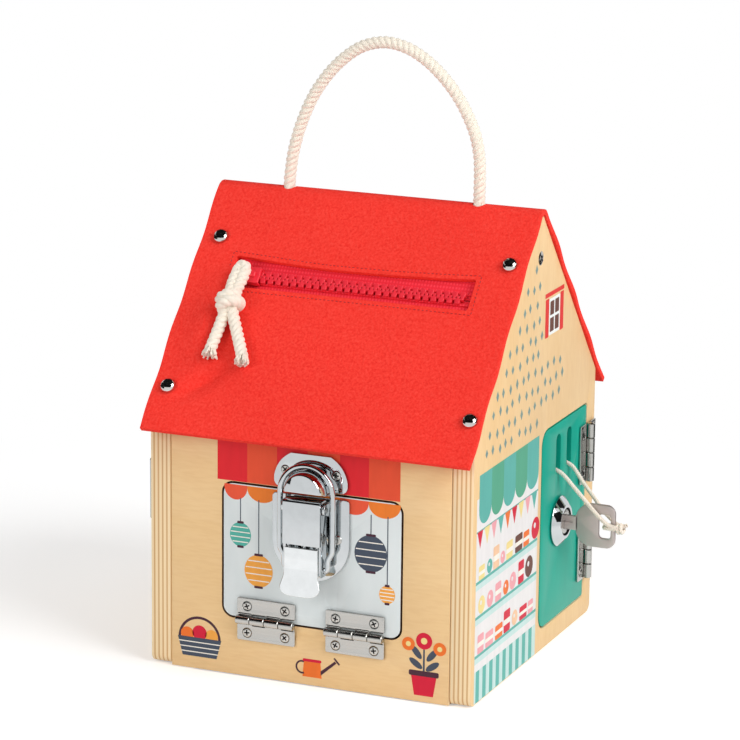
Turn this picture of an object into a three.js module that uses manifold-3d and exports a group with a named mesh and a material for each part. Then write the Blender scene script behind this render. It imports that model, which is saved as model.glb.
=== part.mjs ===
// Activity house: a small plywood house with a latched front door, a keyed side door, a plain side
// door, a felt roof with a zip, and a rope handle over the ridge.
// Millimetres. X runs along the front from left to right, Y from the front to the back, Z up.
// The origin is the middle of the footprint, on the surface that the house stands on.

import * as THREE from 'three';
import { mergeVertices } from 'three/addons/utils/BufferGeometryUtils.js';
import Module from 'manifold-3d';

const wasm = await Module();
wasm.setup();

// Carcase: two house-shaped gables with flat panels between them.
const houseWidth = 165;
const houseDepth = 166;
const gablePly = 10.5;
const panelPly = 6;
const shoulderHeight = 126.2;
const ridgeHeight = 221.4;
const ridgeRound = 4;
const baseCornerRound = 4.5;
const seam = 0.3;
const overrun = 1;

// Ridge batten, and the screw that holds it at each end.
const battenWidth = 24;
const battenDepth = 31.4;
const ridgeScrewDrop = 22.8;
const ridgeScrewHead = 3.4;
const ridgeScrewHeadDepth = 1.8;
const ridgeScrewShank = 1.7;
const ridgeScrewTipRoom = 4;

// Front door, its place in the front wall.
const frontCentre = 1.3;
const frontDoorWidth = 91;
const frontDoorHeight = 65.6;
const frontLintel = 30.4;
const frontDoorRound = 6;
const doorGap = 1;

// Side door in the right gable, with two slots for its key string.
const sideDoorWidth = 62.5;
const sideLintel = 14.8;
const sideDoorSill = 10.4;
const sideDoorStile = 11.3;
const sideDoorRound = 8;
const sideDoorHingeRound = 2;
const slotWidth = 6.5;
const slotLength = 20;
const slotPitch = 15.3;
const slotTopMargin = 5.4;
const slotFromStile = 25.4;

// Small door in the left gable, and its turn button.
const leftDoorWidth = 50;
const leftDoorHeight = 48;
const leftLintel = 14.7;
const buttonLength = 20;
const buttonWidth = 8;
const buttonThickness = 4;
const buttonFromDoor = 7;

// Butt hinges.
const hingeLength = 30;
const hingeReach = 10.5;
const hingeLeafThickness = 1;
const barrelRadius = 2.1;
const barrelLift = 0.2;
const knuckleCount = 4;
const knuckleGap = 0.2;
const knuckleClearance = 0.3;
const hingePinRadius = 1;
const runningClearance = 0.08;
const hingeScrewSpacing = 19.6;
const hingeScrewOffset = 6.6;
const frontHingeSpacing = 45.8;
const sideHingeSpacing = 50.4;

// Wood screws of the hinges and the strike plate.
const screwHeadRadius = 2.1;
const screwHeadDepth = 0.9;
const screwDome = 0.35;
const screwShank = 1;
const screwLength = 4.6;
const screwClearance = 0.15;

// Strike plate with its half-round boss, above the front door.
const strikeWidth = 37.5;
const strikeTopWidth = 20.4;
const strikeHeight = 17;
const strikeRise = 0.8;
const strikeCorner = 3.5;
const plateThickness = 1.2;
const bossRadius = 11;
const bossDepth = 12.5;
const bossBaseDepth = 8;
const bossFaceRadius = 9.2;
const bossFaceRise = 1.2;
const bossEdge = 0.7;
const strikeShoulderShares = [0.92, 0.78, 0.31];
const strikeScrewSpacing = 26;
const strikeScrewRise = 8.7;

// Toggle latch on the front door.
const latchBaseWidth = 39.4;
const latchBaseHeight = 41.6;
const latchBaseDrop = 1.2;
const latchBaseCorner = 2;
const earThickness = 1.2;
const earWidth = 8;
const earDepth = 11.2;
const earGap = 0.3;
const leverPinRadius = 1;
const leverPinDrop = 3.6;
const leverPinDepth = 8.5;
const leverPinOverhang = 0.5;
const leverWidth = 19;
const leverSheet = 1.2;
const leverFront = 12.5;
const leverBack = 4.2;
const leverTopRise = 0.5;
const leverFaceLength = 21.5;
const leverCheekFront = 11.2;
const leverLength = 37;
const leverCorner = 1.6;
const loopWireRadius = 1.4;
const loopInnerRadius = 12;
const loopClearance = 0.4;
const loopDepth = 6.5;
const loopFootClearance = 0.2;
const loopPivotDrop = 33.8;
const loopJogRise = 5;
const loopJogLength = 4;
const loopFootOverrun = 1.6;
const catchPinRadius = 0.9;
const catchPinDepth = 8;
const catchPinDrop = 20.1;
const catchPinOverhang = 0.5;
const catchGap = 1.4;
const catchLength = 23;
const catchSheet = 1.2;
const catchFront = 12.7;
const catchWidth = 20.4;
const catchLip = 2.4;
const catchArmInset = 0.3;
const catchBossRadius = 2.2;
const catchArmShares = [0.06, 0.33];
const catchTabShares = [
  [0, 0.82, 0], [0.55, 0.84, 0.05], [0.7, 0.92, 0.25], [0.8, 1, 0.45], [0.9, 0.9, 0.75], [0.97, 0.66, 0.95], [1, 0.4, 1],
];
const rivetShank = 1.25;
const rivetSpread = 27.6;
const rivetDrop = 19.6;
const rivetFootDrop = 37;

// Cam lock in the side door.
const lockFromStile = 38.4;
const lockBelowSlots = 24.7;
const lockFlangeRadius = 12.5;
const lockFlangeEdge = 0.9;
const lockFaceRadius = 8.5;
const lockFaceHeight = 4.3;
const lockBarrelRadius = 9;
const lockBarrelLength = 10.2;
const lockPlugRadius = 6.1;
const lockPlugRecess = 0.5;
const lockNutWidth = 23;
const lockNutThickness = 3;
const lockTail = 5.6;
const camThickness = 1.8;
const camClearance = 0.5;
const camWidth = 10;
const camTipWidth = 8;
const camLength = 30.5;
const camHubRadius = 6.5;
const camScrewShank = 1.4;
const camScrewHead = 3.6;
const camScrewHeadHeight = 1.8;
const camScrewLength = 6;
const camScrewTopShare = 0.8;

// Key.
const keyThickness = 2;
const keyBladeHeight = 7;
const keyBladeDepth = 9;
const keyShoulder = 9.2;
const keyBowLength = 20.4;
const keyBowHeight = 21.9;
const keyBowRound = 8.6;
const keyBowFarRound = 4;
const keyHoleWidth = 6.2;
const keyHoleRound = 1.8;
const keyHoleHeight = 12.2;
const keyHoleMargin = 2.2;
const keyBitting = 1.5;
const keyBittingCount = 4;
const keyBittingShares = [1, 0.6];

// Key string, tied through the two door slots and the key.
const stringRadius = 1;
const stringKnotRadius = 2.6;

// Felt roof, one sheet over the ridge, held by domed studs.
const feltThickness = 2.6;
const eaveOverhang = 7.8;
const vergeOverhang = 1.5;
const studRadius = 3.85;
const studHeight = 2.8;
const studShank = 0.9;
const studLength = 10;
const studUpperFromRidge = 32.07;
const studLowerUp = 23.5;
const studInset = 5.65;
const studShift = 0.95;
const studUpperInset = 2.25;
const studDomeShares = [[0.92, 0.5], [0.7, 0.8]];

// Zip in the front slope.
const zipCentre = -0.5;
const zipFromRidge = 51.47;
const zipEndRoom = 4;
const zipWindowWidth = 16.8;
const zipWindowRise = 1.7;
const zipWindowRound = 1.5;
const zipTapeWidth = 14;
const zipTapeOverlap = 5.5;
const zipTapeThickness = 0.9;
const zipSlit = 0.6;
const zipToothPitch = 4;
const zipToothWidth = 2.7;
const zipToothReach = 1.2;
const zipToothRoot = 3;
const zipToothHeight = 2.5;
const zipToothClearance = 0.25;
const zipSliderLength = 9;
const zipSliderWidth = 8.4;
const zipSliderNose = 5;
const zipSliderTop = 1.4;
const zipSliderWall = 0.9;
const zipSliderGap = 0.35;
const zipSliderEnd = 10.7;
const zipSliderBendShare = 0.3;
const zipBridgeLength = 5;
const zipBridgeWidth = 3;
const zipBridgeHeight = 1.4;

// Cotton rope of the zip pull and of the carrying handle.
const pullRopeRadius = 3;
const pullKnotLength = 12;
const pullKnotWidth = 14.5;
const pullKnotHeight = 11;
const pullLift = 0.5;
const pullEyePlace = [-4.5, 0];
const pullKnotPlace = [-3.65, -18.6];
const pullTailPlaces = [[-7.3, -43.3], [10, -45.2]];
const pullNeckHalf = 1.7;
const handleRopeRadius = 3;
const handleSpan = 98.5;
const handleCentre = 1.4;
const handleClearance = 0.3;
const ropeKnotRadius = 7;
const ropeKnotHeight = 9;

// Facets.
const ropeSides = 12;
const stringSides = 8;
const screwSides = 8;
const pinSides = 12;
const lockSides = 24;
const cornerSteps = 5;
const archSteps = 32;
const loopSteps = 30;
const loopArcPoints = 12;
const bossSteps = 14;
const stringSteps = 40;
const stringTurnSteps = 12;
const pullSteps = 7;
const barrelSides = 10;

// Sizes that follow from the ones above.
const quarterTurn = Math.PI / 2;
const halfWidth = houseWidth / 2;
const halfDepth = houseDepth / 2;
const pitch = Math.atan2(ridgeHeight - shoulderHeight, halfDepth);
const panelHalfWidth = halfWidth - gablePly - seam;
const eaveY = halfDepth + eaveOverhang;
const eaveHeight = shoulderHeight - eaveOverhang * Math.tan(pitch);
const slopeLength = eaveY / Math.cos(pitch);
const feltTop = seam + feltThickness;
const feltPeak = ridgeHeight - ridgeRound / Math.cos(pitch) + ridgeRound + feltTop;
const battenBottom = ridgeHeight - battenDepth;
const handleFeet = [handleCentre - handleSpan / 2, handleCentre + handleSpan / 2];
const ridgeScrewHeight = ridgeHeight - ridgeScrewDrop;
const ridgeScrewLength = halfWidth - handleFeet[1] - handleRopeRadius - ridgeScrewTipRoom;
const studUpperUp = slopeLength - studUpperFromRidge;
const zipUp = slopeLength - zipFromRidge;
const zipWindowLength = (panelHalfWidth + zipCentre - zipTapeOverlap - zipEndRoom) * 2;
const sliderCentre = zipCentre - zipWindowLength / 2 + zipSliderEnd;
const hingeAxisHeight = barrelRadius + barrelLift;
const frontOpeningTop = shoulderHeight - frontLintel;
const frontDoorSill = frontOpeningTop - frontDoorHeight - doorGap * 2;
const frontDoorTop = frontOpeningTop - doorGap;
const frontAxisUp = frontDoorSill + doorGap / 2;
const sideOpeningRear = halfDepth - sideDoorStile;
const sideAxisAcross = sideOpeningRear - doorGap / 2;
const sideDoorHeight = shoulderHeight - sideLintel - sideDoorSill - doorGap * 2;
const sideDoorMiddle = sideDoorSill + doorGap + sideDoorHeight / 2;
const leftDoorSill = shoulderHeight - leftLintel - leftDoorHeight - doorGap * 2;
const slotTop = sideDoorSill + doorGap + sideDoorHeight - slotTopMargin;
const latchBaseTop = frontDoorTop - latchBaseDrop;
const leverPinUp = latchBaseTop - leverPinDrop;
const loopPivotUp = latchBaseTop - loopPivotDrop;
const catchPinUp = latchBaseTop - catchPinDrop;
const strikeBottom = frontOpeningTop + strikeRise;
const leverFaceBottom = latchBaseTop + leverTopRise - leverFaceLength;
const earRadius = earDepth - leverPinDepth;
const loopCentreRadius = loopInnerRadius + loopWireRadius;
const lockAcross = sideOpeningRear - lockFromStile;
const lockHeight = slotTop - slotLength - lockBelowSlots;
const zipToothTip = zipToothPitch - zipToothWidth - zipToothClearance * 2;
const zipSliderLow = zipToothHeight + zipSliderGap;

// Plain tools for solids

const model = new THREE.Group();

function finish(color, roughness, metalness) {
  return new THREE.MeshStandardMaterial({ color, roughness, metalness });
}
const birch = () => finish(0xecc793, 0.6, 0);
const paintedWood = () => finish(0x19a58f, 0.5, 0);
const whitePaint = () => finish(0xdce3e2, 0.5, 0);
const steel = () => finish(0xc4c4c2, 0.35, 0.9);
const chrome = () => finish(0xdadcde, 0.12, 1);
const felt = () => finish(0xf93a32, 0.95, 0);
const zipPlastic = () => finish(0xe0202b, 0.5, 0);
const cotton = () => finish(0xefe0cb, 0.9, 0);

function add(parent, name, geometry, material) {
  const mesh = new THREE.Mesh(geometry, material);
  mesh.name = name;
  parent.add(mesh);
  return mesh;
}

// Welds the vertices, drops flat triangles and turns the faces outwards.
function closed(geometry) {
  const bare = geometry.clone();
  bare.deleteAttribute('normal');
  bare.deleteAttribute('uv');
  const welded = mergeVertices(bare);
  const position = welded.attributes.position;
  const kept = [];
  let volume = 0;
  const corner = [new THREE.Vector3(), new THREE.Vector3(), new THREE.Vector3()];
  for (let i = 0; i < welded.index.count; i += 3) {
    const face = [welded.index.getX(i), welded.index.getX(i + 1), welded.index.getX(i + 2)];
    if (face[0] === face[1] || face[1] === face[2] || face[2] === face[0]) continue;
    kept.push(face);
    face.forEach((vertex, k) => corner[k].fromBufferAttribute(position, vertex));
    volume += corner[0].dot(corner[1].clone().cross(corner[2]));
  }
  const order = volume < 0 ? kept.map(([a, b, c]) => [a, c, b]) : kept;
  const result = new THREE.BufferGeometry();
  result.setAttribute('position', position);
  result.setIndex(order.flat());
  return result;
}

function toSolid(geometry) {
  const shape = closed(geometry);
  return new wasm.Manifold(new wasm.Mesh({
    numProp: 3,
    vertProperties: new Float32Array(shape.attributes.position.array),
    triVerts: new Uint32Array(shape.index.array),
  }));
}

function toGeometry(solid) {
  const mesh = solid.getMesh();
  const geometry = new THREE.BufferGeometry();
  geometry.setAttribute('position', new THREE.Float32BufferAttribute(mesh.vertProperties, 3));
  geometry.setIndex(Array.from(mesh.triVerts));
  return geometry;
}

function join(first, ...others) {
  return toGeometry(others.reduce((sum, next) => sum.add(toSolid(next)), toSolid(first)));
}

function cut(base, ...tools) {
  return toGeometry(tools.reduce((rest, tool) => rest.subtract(toSolid(tool)), toSolid(base)));
}

// One mesh for each copy of a repeated piece, numbered from 1.
function addEach(parent, name, geometries, material) {
  geometries.forEach((geometry, k) => add(parent, `${name}_${k + 1}`, closed(geometry), material()));
}

// A box between two opposite corners.
function block(low, high) {
  const size = high.map((value, k) => value - low[k]);
  const middle = high.map((value, k) => (value + low[k]) / 2);
  return new THREE.BoxGeometry(...size).translate(...middle);
}

// A flat outline raised along z from zLow to zHigh.
function plate(shape, zLow, zHigh, steps = cornerSteps) {
  const options = { depth: zHigh - zLow, bevelEnabled: false, curveSegments: steps };
  return new THREE.ExtrudeGeometry(shape, options).translate(0, 0, zLow);
}

// An outline drawn in depth and height, raised along x from xLow to xHigh.
function sidePlate(shape, xLow, xHigh, steps = cornerSteps) {
  const raised = plate(shape, xLow, xHigh, steps);
  return raised.applyMatrix4(new THREE.Matrix4().makeBasis(
    new THREE.Vector3(0, 0, 1), new THREE.Vector3(0, 1, 0), new THREE.Vector3(1, 0, 0)));
}

// A rod along x, y or z through a point.
function rod(axis, radius, low, high, at, sides = pinSides) {
  const body = new THREE.CylinderGeometry(radius, radius, high - low, sides);
  body.translate(0, (high + low) / 2, 0);
  if (axis === 'x') body.rotateZ(-quarterTurn);
  if (axis === 'z') body.rotateX(quarterTurn);
  return body.translate(...at);
}

// A turned piece about z from pairs of radius and height.
function turned(profile, sides) {
  const points = profile.map(([radius, height]) => new THREE.Vector2(radius, height));
  return closed(new THREE.LatheGeometry(points, sides).rotateX(quarterTurn));
}

// A solid through rings of points, with flat ends.
function loft(rings) {
  const count = rings[0].length;
  const points = rings.flat();
  const index = [];
  for (let ring = 0; ring + 1 < rings.length; ring += 1) {
    for (let k = 0; k < count; k += 1) {
      const a = ring * count + k;
      const b = ring * count + ((k + 1) % count);
      index.push(a, b, b + count, a, b + count, a + count);
    }
  }
  [0, rings.length - 1].forEach((ring) => {
    const middle = points.length;
    const sum = rings[ring].reduce((total, p) => total.add(p), new THREE.Vector3());
    points.push(sum.divideScalar(count));
    for (let k = 0; k < count; k += 1) {
      const a = ring * count + k;
      const b = ring * count + ((k + 1) % count);
      if (ring === 0) index.push(b, a, middle);
      else index.push(a, b, middle);
    }
  });
  const geometry = new THREE.BufferGeometry();
  geometry.setAttribute('position', new THREE.Float32BufferAttribute(points.flatMap((p) => p.toArray()), 3));
  geometry.setIndex(index);
  return closed(geometry);
}

// A round tube of even sides along a curve.
function tube(curve, radius, steps, sides) {
  const ring = [];
  for (let k = 0; k < sides; k += 1) {
    const angle = (k / sides) * Math.PI * 2;
    ring.push(new THREE.Vector2(Math.cos(angle) * radius, Math.sin(angle) * radius));
  }
  const options = { steps, bevelEnabled: false, extrudePath: curve };
  return closed(new THREE.ExtrudeGeometry(new THREE.Shape(ring), options));
}

function smooth(points) {
  return new THREE.CatmullRomCurve3(points.map((p) => new THREE.Vector3(...p)), false, 'centripetal');
}

// An upright rectangle whose corners on the low-x side and the high-x side have their own radii.
function roundedRectangle(target, x0, y0, x1, y1, lowRound, highRound) {
  target.moveTo(x0 + lowRound, y0);
  target.lineTo(x1 - highRound, y0);
  target.absarc(x1 - highRound, y0 + highRound, highRound, -quarterTurn, 0, false);
  target.lineTo(x1, y1 - highRound);
  target.absarc(x1 - highRound, y1 - highRound, highRound, 0, quarterTurn, false);
  target.lineTo(x0 + lowRound, y1);
  target.absarc(x0 + lowRound, y1 - lowRound, lowRound, quarterTurn, Math.PI, false);
  target.lineTo(x0, y0 + lowRound);
  target.absarc(x0 + lowRound, y0 + lowRound, lowRound, Math.PI, Math.PI * 1.5, false);
  return target;
}

// A frame on a wall: x across, y up, z out of the wall. Turn 0 faces the front.
function wallFrame(distance, turn) {
  const outer = new THREE.Group();
  outer.rotation.z = turn;
  const inner = new THREE.Group();
  inner.rotation.x = quarterTurn;
  inner.position.y = -distance;
  outer.add(inner);
  model.add(outer);
  inner.updateWorldMatrix(true, false);
  return inner;
}

// A frame on a roof slope: x across, y up the slope from the eave, z out of the slope.
function slopeFrame(turn) {
  const outer = new THREE.Group();
  outer.rotation.z = turn;
  const inner = new THREE.Group();
  inner.rotation.x = pitch;
  inner.position.set(0, -eaveY, eaveHeight);
  outer.add(inner);
  model.add(outer);
  inner.updateWorldMatrix(true, false);
  return inner;
}

// The same solid, given in one frame, as another frame sees it.
function carried(geometry, fromFrame, toFrame) {
  const change = toFrame.matrixWorld.clone().invert().multiply(fromFrame.matrixWorld);
  return geometry.clone().applyMatrix4(change);
}

const frontFrame = wallFrame(halfDepth, 0);
const rightFrame = wallFrame(halfWidth, quarterTurn);
const backFrame = wallFrame(halfDepth, Math.PI);
const leftFrame = wallFrame(halfWidth, -quarterTurn);
const frontSlope = slopeFrame(0);
const backSlope = slopeFrame(Math.PI);
const crossFrame = wallFrame(0, quarterTurn);

// Fasteners

// A countersunk screw whose head ends at the given height, or the hole that it needs.
function screw(top, grow = 0, reach = screwLength) {
  const length = reach + grow;
  const shank = screwShank + grow;
  const head = screwHeadRadius + grow;
  const rise = grow > 0 ? overrun : screwDome;
  const profile = [
    [0, top - length - screwHeadDepth],
    [shank, top - length],
    [shank, top - screwHeadDepth],
    [head, top],
  ];
  if (grow > 0) profile.push([head, top + rise]);
  profile.push([0, top + rise]);
  return turned(profile, screwSides);
}

function atPlaces(geometry, places) {
  return places.map(([x, y]) => geometry.clone().translate(x, y, 0));
}

// Hinges

// Where a hinge's two screws are, on the side of its door (1) or of its wall (-1).
function hingeScrews(places, side) {
  return places.flatMap(([x, y, turn]) => [-1, 1].map((end) => {
    const along = (end * hingeScrewSpacing) / 2;
    const off = side * hingeScrewOffset;
    return [
      x + along * Math.cos(turn) - off * Math.sin(turn),
      y + along * Math.sin(turn) + off * Math.cos(turn),
    ];
  }));
}

// One leaf: a plate with every second knuckle. Its barrel runs along x. The other leaf is this
// one turned half round.
function hingeLeaf() {
  const knuckle = hingeLength / knuckleCount;
  const start = -hingeLength / 2;
  const at = [0, 0, hingeAxisHeight];
  const own = [];
  const others = [];
  for (let k = 0; k < knuckleCount; k += 1) {
    const low = start + k * knuckle;
    const high = low + knuckle;
    if (k % 2 === 0) {
      own.push(rod('x', barrelRadius, low, high - knuckleGap, at, barrelSides));
    } else {
      others.push(rod('x', barrelRadius + knuckleClearance, low - knuckleGap, high + knuckleGap, at, barrelSides));
    }
  }
  const leaf = join(block([start, 0, 0], [-start, hingeReach, hingeLeafThickness]), ...own);
  const bore = rod('x', hingePinRadius + runningClearance, start - overrun, overrun - start, at);
  const holes = [-1, 1].map((end) => screw(hingeLeafThickness, screwClearance)
    .translate((end * hingeScrewSpacing) / 2, hingeScrewOffset, 0));
  return cut(leaf, ...others, bore, ...holes);
}

function addHinge(frame, label, [x, y, turn]) {
  const hinge = new THREE.Group();
  hinge.position.set(x, y, seam);
  hinge.rotation.z = turn;
  frame.add(hinge);
  add(hinge, `${label}_door_leaf`, hingeLeaf(), steel());
  add(hinge, `${label}_wall_leaf`, hingeLeaf(), steel()).rotation.z = Math.PI;
  const pin = rod('x', hingePinRadius, -hingeLength / 2, hingeLength / 2, [0, 0, hingeAxisHeight]);
  add(hinge, `${label}_pin`, pin, steel());
}

const hingeScrewHole = screw(seam + hingeLeafThickness, screwClearance);

const frontHinges = [-1, 1].map((end) => [frontCentre + (end * frontHingeSpacing) / 2, frontAxisUp, 0]);
const sideHinges = [1, -1].map((end) => [
  sideAxisAcross, sideDoorMiddle + (end * sideHingeSpacing) / 2, quarterTurn]);
const leftHinge = [[sideAxisAcross, leftDoorSill + doorGap + leftDoorHeight / 2, quarterTurn]];

// Gables, drawn across their depth and up

function gableShape() {
  const shape = new THREE.Shape();
  const round = baseCornerRound;
  const apex = ridgeHeight - ridgeRound / Math.cos(pitch);
  shape.moveTo(-halfDepth + round, 0);
  shape.lineTo(halfDepth - round, 0);
  shape.absarc(halfDepth - round, round, round, -quarterTurn, 0, false);
  shape.lineTo(halfDepth, shoulderHeight);
  shape.absarc(0, apex, ridgeRound, quarterTurn - pitch, quarterTurn + pitch, false);
  shape.lineTo(-halfDepth, shoulderHeight);
  shape.lineTo(-halfDepth, round);
  shape.absarc(-halfDepth + round, round, round, Math.PI, Math.PI * 1.5, false);
  return shape;
}

// The doorway of a gable door that is hinged at its high-x side.
function gableDoorway(width, height, sill, round, hingeRound) {
  const x0 = sideOpeningRear - width - doorGap * 2;
  const y1 = sill + height + doorGap * 2;
  return roundedRectangle(new THREE.Path(), x0, sill, sideOpeningRear, y1, round, hingeRound);
}

function ridgeScrew(grow = 0) {
  const shank = ridgeScrewShank + grow;
  const head = ridgeScrewHead + grow;
  const top = grow > 0 ? overrun : screwDome;
  const profile = [
    [0, -ridgeScrewLength - grow],
    [shank, -ridgeScrewLength + shank],
    [shank, -ridgeScrewHeadDepth],
    [head, 0],
  ];
  if (grow > 0) profile.push([head, top]);
  profile.push([0, top]);
  return turned(profile, screwSides).translate(0, ridgeScrewHeight, 0);
}

function stud(grow = 0) {
  const shank = studShank + grow;
  if (grow > 0) return rod('z', shank, -studLength - grow, feltTop + overrun, [0, 0, 0], screwSides);
  const base = feltTop + seam;
  return turned([
    [0, -studLength],
    [shank, shank - studLength],
    [shank, base],
    [studRadius, base],
    ...studDomeShares.map(([radiusShare, riseShare]) => [studRadius * radiusShare, base + studHeight * riseShare]),
    [0, base + studHeight],
  ], pinSides);
}

const studPlaces = [-1, 1].flatMap((side) => [
  [studShift + side * (halfWidth - studInset), studLowerUp],
  [studShift + side * (halfWidth - studInset - studUpperInset), studUpperUp],
]);

// The stud holes of both slopes, as one frame sees them.
function studHoles(frame) {
  return [frontSlope, backSlope].flatMap((slope) => atPlaces(stud(screwClearance), studPlaces)
    .map((hole) => carried(hole, slope, frame)));
}

// Only the holes that reach the wall at the front of the frame.
function nearSide(holes) {
  return holes.filter((hole) => {
    hole.computeBoundingBox();
    return hole.boundingBox.max.z > -gablePly - overrun;
  });
}

function gable(frame, doorway, hinges, extraHoles) {
  const shape = gableShape();
  shape.holes.push(doorway);
  const holes = [
    ...atPlaces(hingeScrewHole, hingeScrews(hinges, -1)),
    ridgeScrew(screwClearance),
    ...nearSide(studHoles(frame)),
    ...extraHoles,
  ];
  return cut(plate(shape, -gablePly, 0), ...holes);
}

// Panels

function frontWall() {
  const shape = new THREE.Shape();
  const top = shoulderHeight - seam;
  shape.moveTo(-panelHalfWidth, 0);
  shape.lineTo(panelHalfWidth, 0);
  shape.lineTo(panelHalfWidth, top);
  shape.lineTo(-panelHalfWidth, top);
  const reach = frontDoorWidth / 2 + doorGap;
  shape.holes.push(roundedRectangle(new THREE.Path(), frontCentre - reach, frontDoorSill,
    frontCentre + reach, frontOpeningTop, frontDoorRound, frontDoorRound));
  return cut(plate(shape, -panelPly, 0),
    ...atPlaces(hingeScrewHole, hingeScrews(frontHinges, -1)),
    ...atPlaces(strikeScrewHole, strikeScrewPlaces));
}

const strikeScrewPlaces = [-1, 1].map((side) => [
  frontCentre + (side * strikeScrewSpacing) / 2, strikeBottom + strikeScrewRise]);
const strikeScrewTop = seam + plateThickness;
const strikeScrewHole = screw(strikeScrewTop, screwClearance);

const rivetPlaces = [
  [frontCentre - rivetSpread / 2, latchBaseTop - rivetDrop],
  [frontCentre + rivetSpread / 2, latchBaseTop - rivetDrop],
  [frontCentre, latchBaseTop - rivetFootDrop],
];

const rivetHole = rod('z', rivetShank, overrun - panelPly, seam + plateThickness + overrun,
  [0, 0, 0], screwSides);

function ridgeBatten() {
  const half = battenWidth / 2;
  const drop = seam / Math.cos(pitch);
  const side = ridgeHeight - half * Math.tan(pitch) - drop;
  const apex = ridgeHeight - ridgeRound / Math.cos(pitch) - drop;
  const shape = new THREE.Shape();
  shape.moveTo(-half, battenBottom);
  shape.lineTo(half, battenBottom);
  shape.lineTo(half, side);
  shape.absarc(0, apex, ridgeRound, quarterTurn - pitch, quarterTurn + pitch, false);
  shape.lineTo(-half, side);
  const body = plate(shape, -panelHalfWidth, panelHalfWidth);
  const rightScrew = ridgeScrew(screwClearance).translate(0, 0, halfWidth);
  const leftScrew = ridgeScrew(screwClearance).rotateY(Math.PI).translate(0, 0, -halfWidth);
  const ropeHoles = handleFeet.map((x) => rod('y', handleRopeRadius + handleClearance,
    battenBottom - overrun, ridgeHeight + overrun, [0, 0, x], ropeSides));
  return cut(body, rightScrew, leftScrew, ...ropeHoles);
}

// Felt roof, drawn across its depth and up

function feltRoof(frame) {
  const apex = ridgeHeight - ridgeRound / Math.cos(pitch);
  const inner = ridgeRound + seam;
  const outer = inner + feltThickness;
  const start = quarterTurn - pitch;
  const end = quarterTurn + pitch;
  const outward = (reach) => [eaveY + reach * Math.sin(pitch), eaveHeight + reach * Math.cos(pitch)];
  const [innerY, innerZ] = outward(seam);
  const [outerY, outerZ] = outward(feltTop);
  const shape = new THREE.Shape();
  shape.moveTo(innerY, innerZ);
  shape.lineTo(outerY, outerZ);
  shape.absarc(0, apex, outer, start, end, false);
  shape.lineTo(-outerY, outerZ);
  shape.lineTo(-innerY, innerZ);
  shape.absarc(0, apex, inner, end, start, true);
  const half = halfWidth + vergeOverhang;
  const body = plate(shape, -half, half);
  const windowUp = zipUp + zipWindowRise;
  const window = roundedRectangle(new THREE.Shape(),
    zipCentre - zipWindowLength / 2, windowUp - zipWindowWidth / 2,
    zipCentre + zipWindowLength / 2, windowUp + zipWindowWidth / 2, zipWindowRound, zipWindowRound);
  const windowTool = carried(plate(window, -overrun, feltTop + overrun), frontSlope, frame);
  const ropeHoles = handleFeet.map((x) => rod('y', handleRopeRadius + handleClearance,
    battenBottom, ridgeHeight + feltTop + ridgeRound, [0, 0, x], ropeSides));
  return cut(body, windowTool, ...ropeHoles, ...studHoles(frame));
}

function strikePlate() {
  const half = strikeWidth / 2;
  const topHalf = strikeTopWidth / 2;
  const top = strikeBottom + strikeHeight;
  const [bendShare, riseShare, sideShare] = strikeShoulderShares;
  const shape = new THREE.Shape();
  shape.moveTo(frontCentre - half + strikeCorner, strikeBottom);
  shape.lineTo(frontCentre + half - strikeCorner, strikeBottom);
  shape.absarc(frontCentre + half - strikeCorner, strikeBottom + strikeCorner, strikeCorner,
    -quarterTurn, 0, false);
  shape.lineTo(frontCentre + half, strikeBottom + strikeHeight * sideShare);
  shape.quadraticCurveTo(frontCentre + half * bendShare, strikeBottom + strikeHeight * riseShare,
    frontCentre + topHalf, top);
  shape.lineTo(frontCentre - topHalf, top);
  shape.quadraticCurveTo(frontCentre - half * bendShare, strikeBottom + strikeHeight * riseShare,
    frontCentre - half, strikeBottom + strikeHeight * sideShare);
  shape.lineTo(frontCentre - half, strikeBottom + strikeCorner);
  shape.absarc(frontCentre - half + strikeCorner, strikeBottom + strikeCorner, strikeCorner,
    Math.PI, Math.PI * 1.5, false);
  const boss = loft([
    bossRing(seam, bossRadius, 0),
    bossRing(bossBaseDepth, bossRadius, 0),
    bossRing(bossDepth - bossEdge, bossFaceRadius, bossFaceRise),
    bossRing(bossDepth, bossFaceRadius - bossEdge, bossFaceRise),
  ]);
  return cut(join(plate(shape, seam, seam + plateThickness), boss),
    ...atPlaces(strikeScrewHole, strikeScrewPlaces));
}

// A half-round outline standing on the bottom edge of the strike plate.
function bossRing(depth, radius, rise) {
  const ring = [new THREE.Vector3(frontCentre + radius, strikeBottom, depth)];
  for (let k = 0; k <= bossSteps; k += 1) {
    const angle = (k / bossSteps) * Math.PI;
    ring.push(new THREE.Vector3(frontCentre + radius * Math.cos(angle),
      strikeBottom + rise + radius * Math.sin(angle), depth));
  }
  ring.push(new THREE.Vector3(frontCentre - radius, strikeBottom, depth));
  return ring;
}

// Toggle latch, drawn across, up and out of the door

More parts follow.
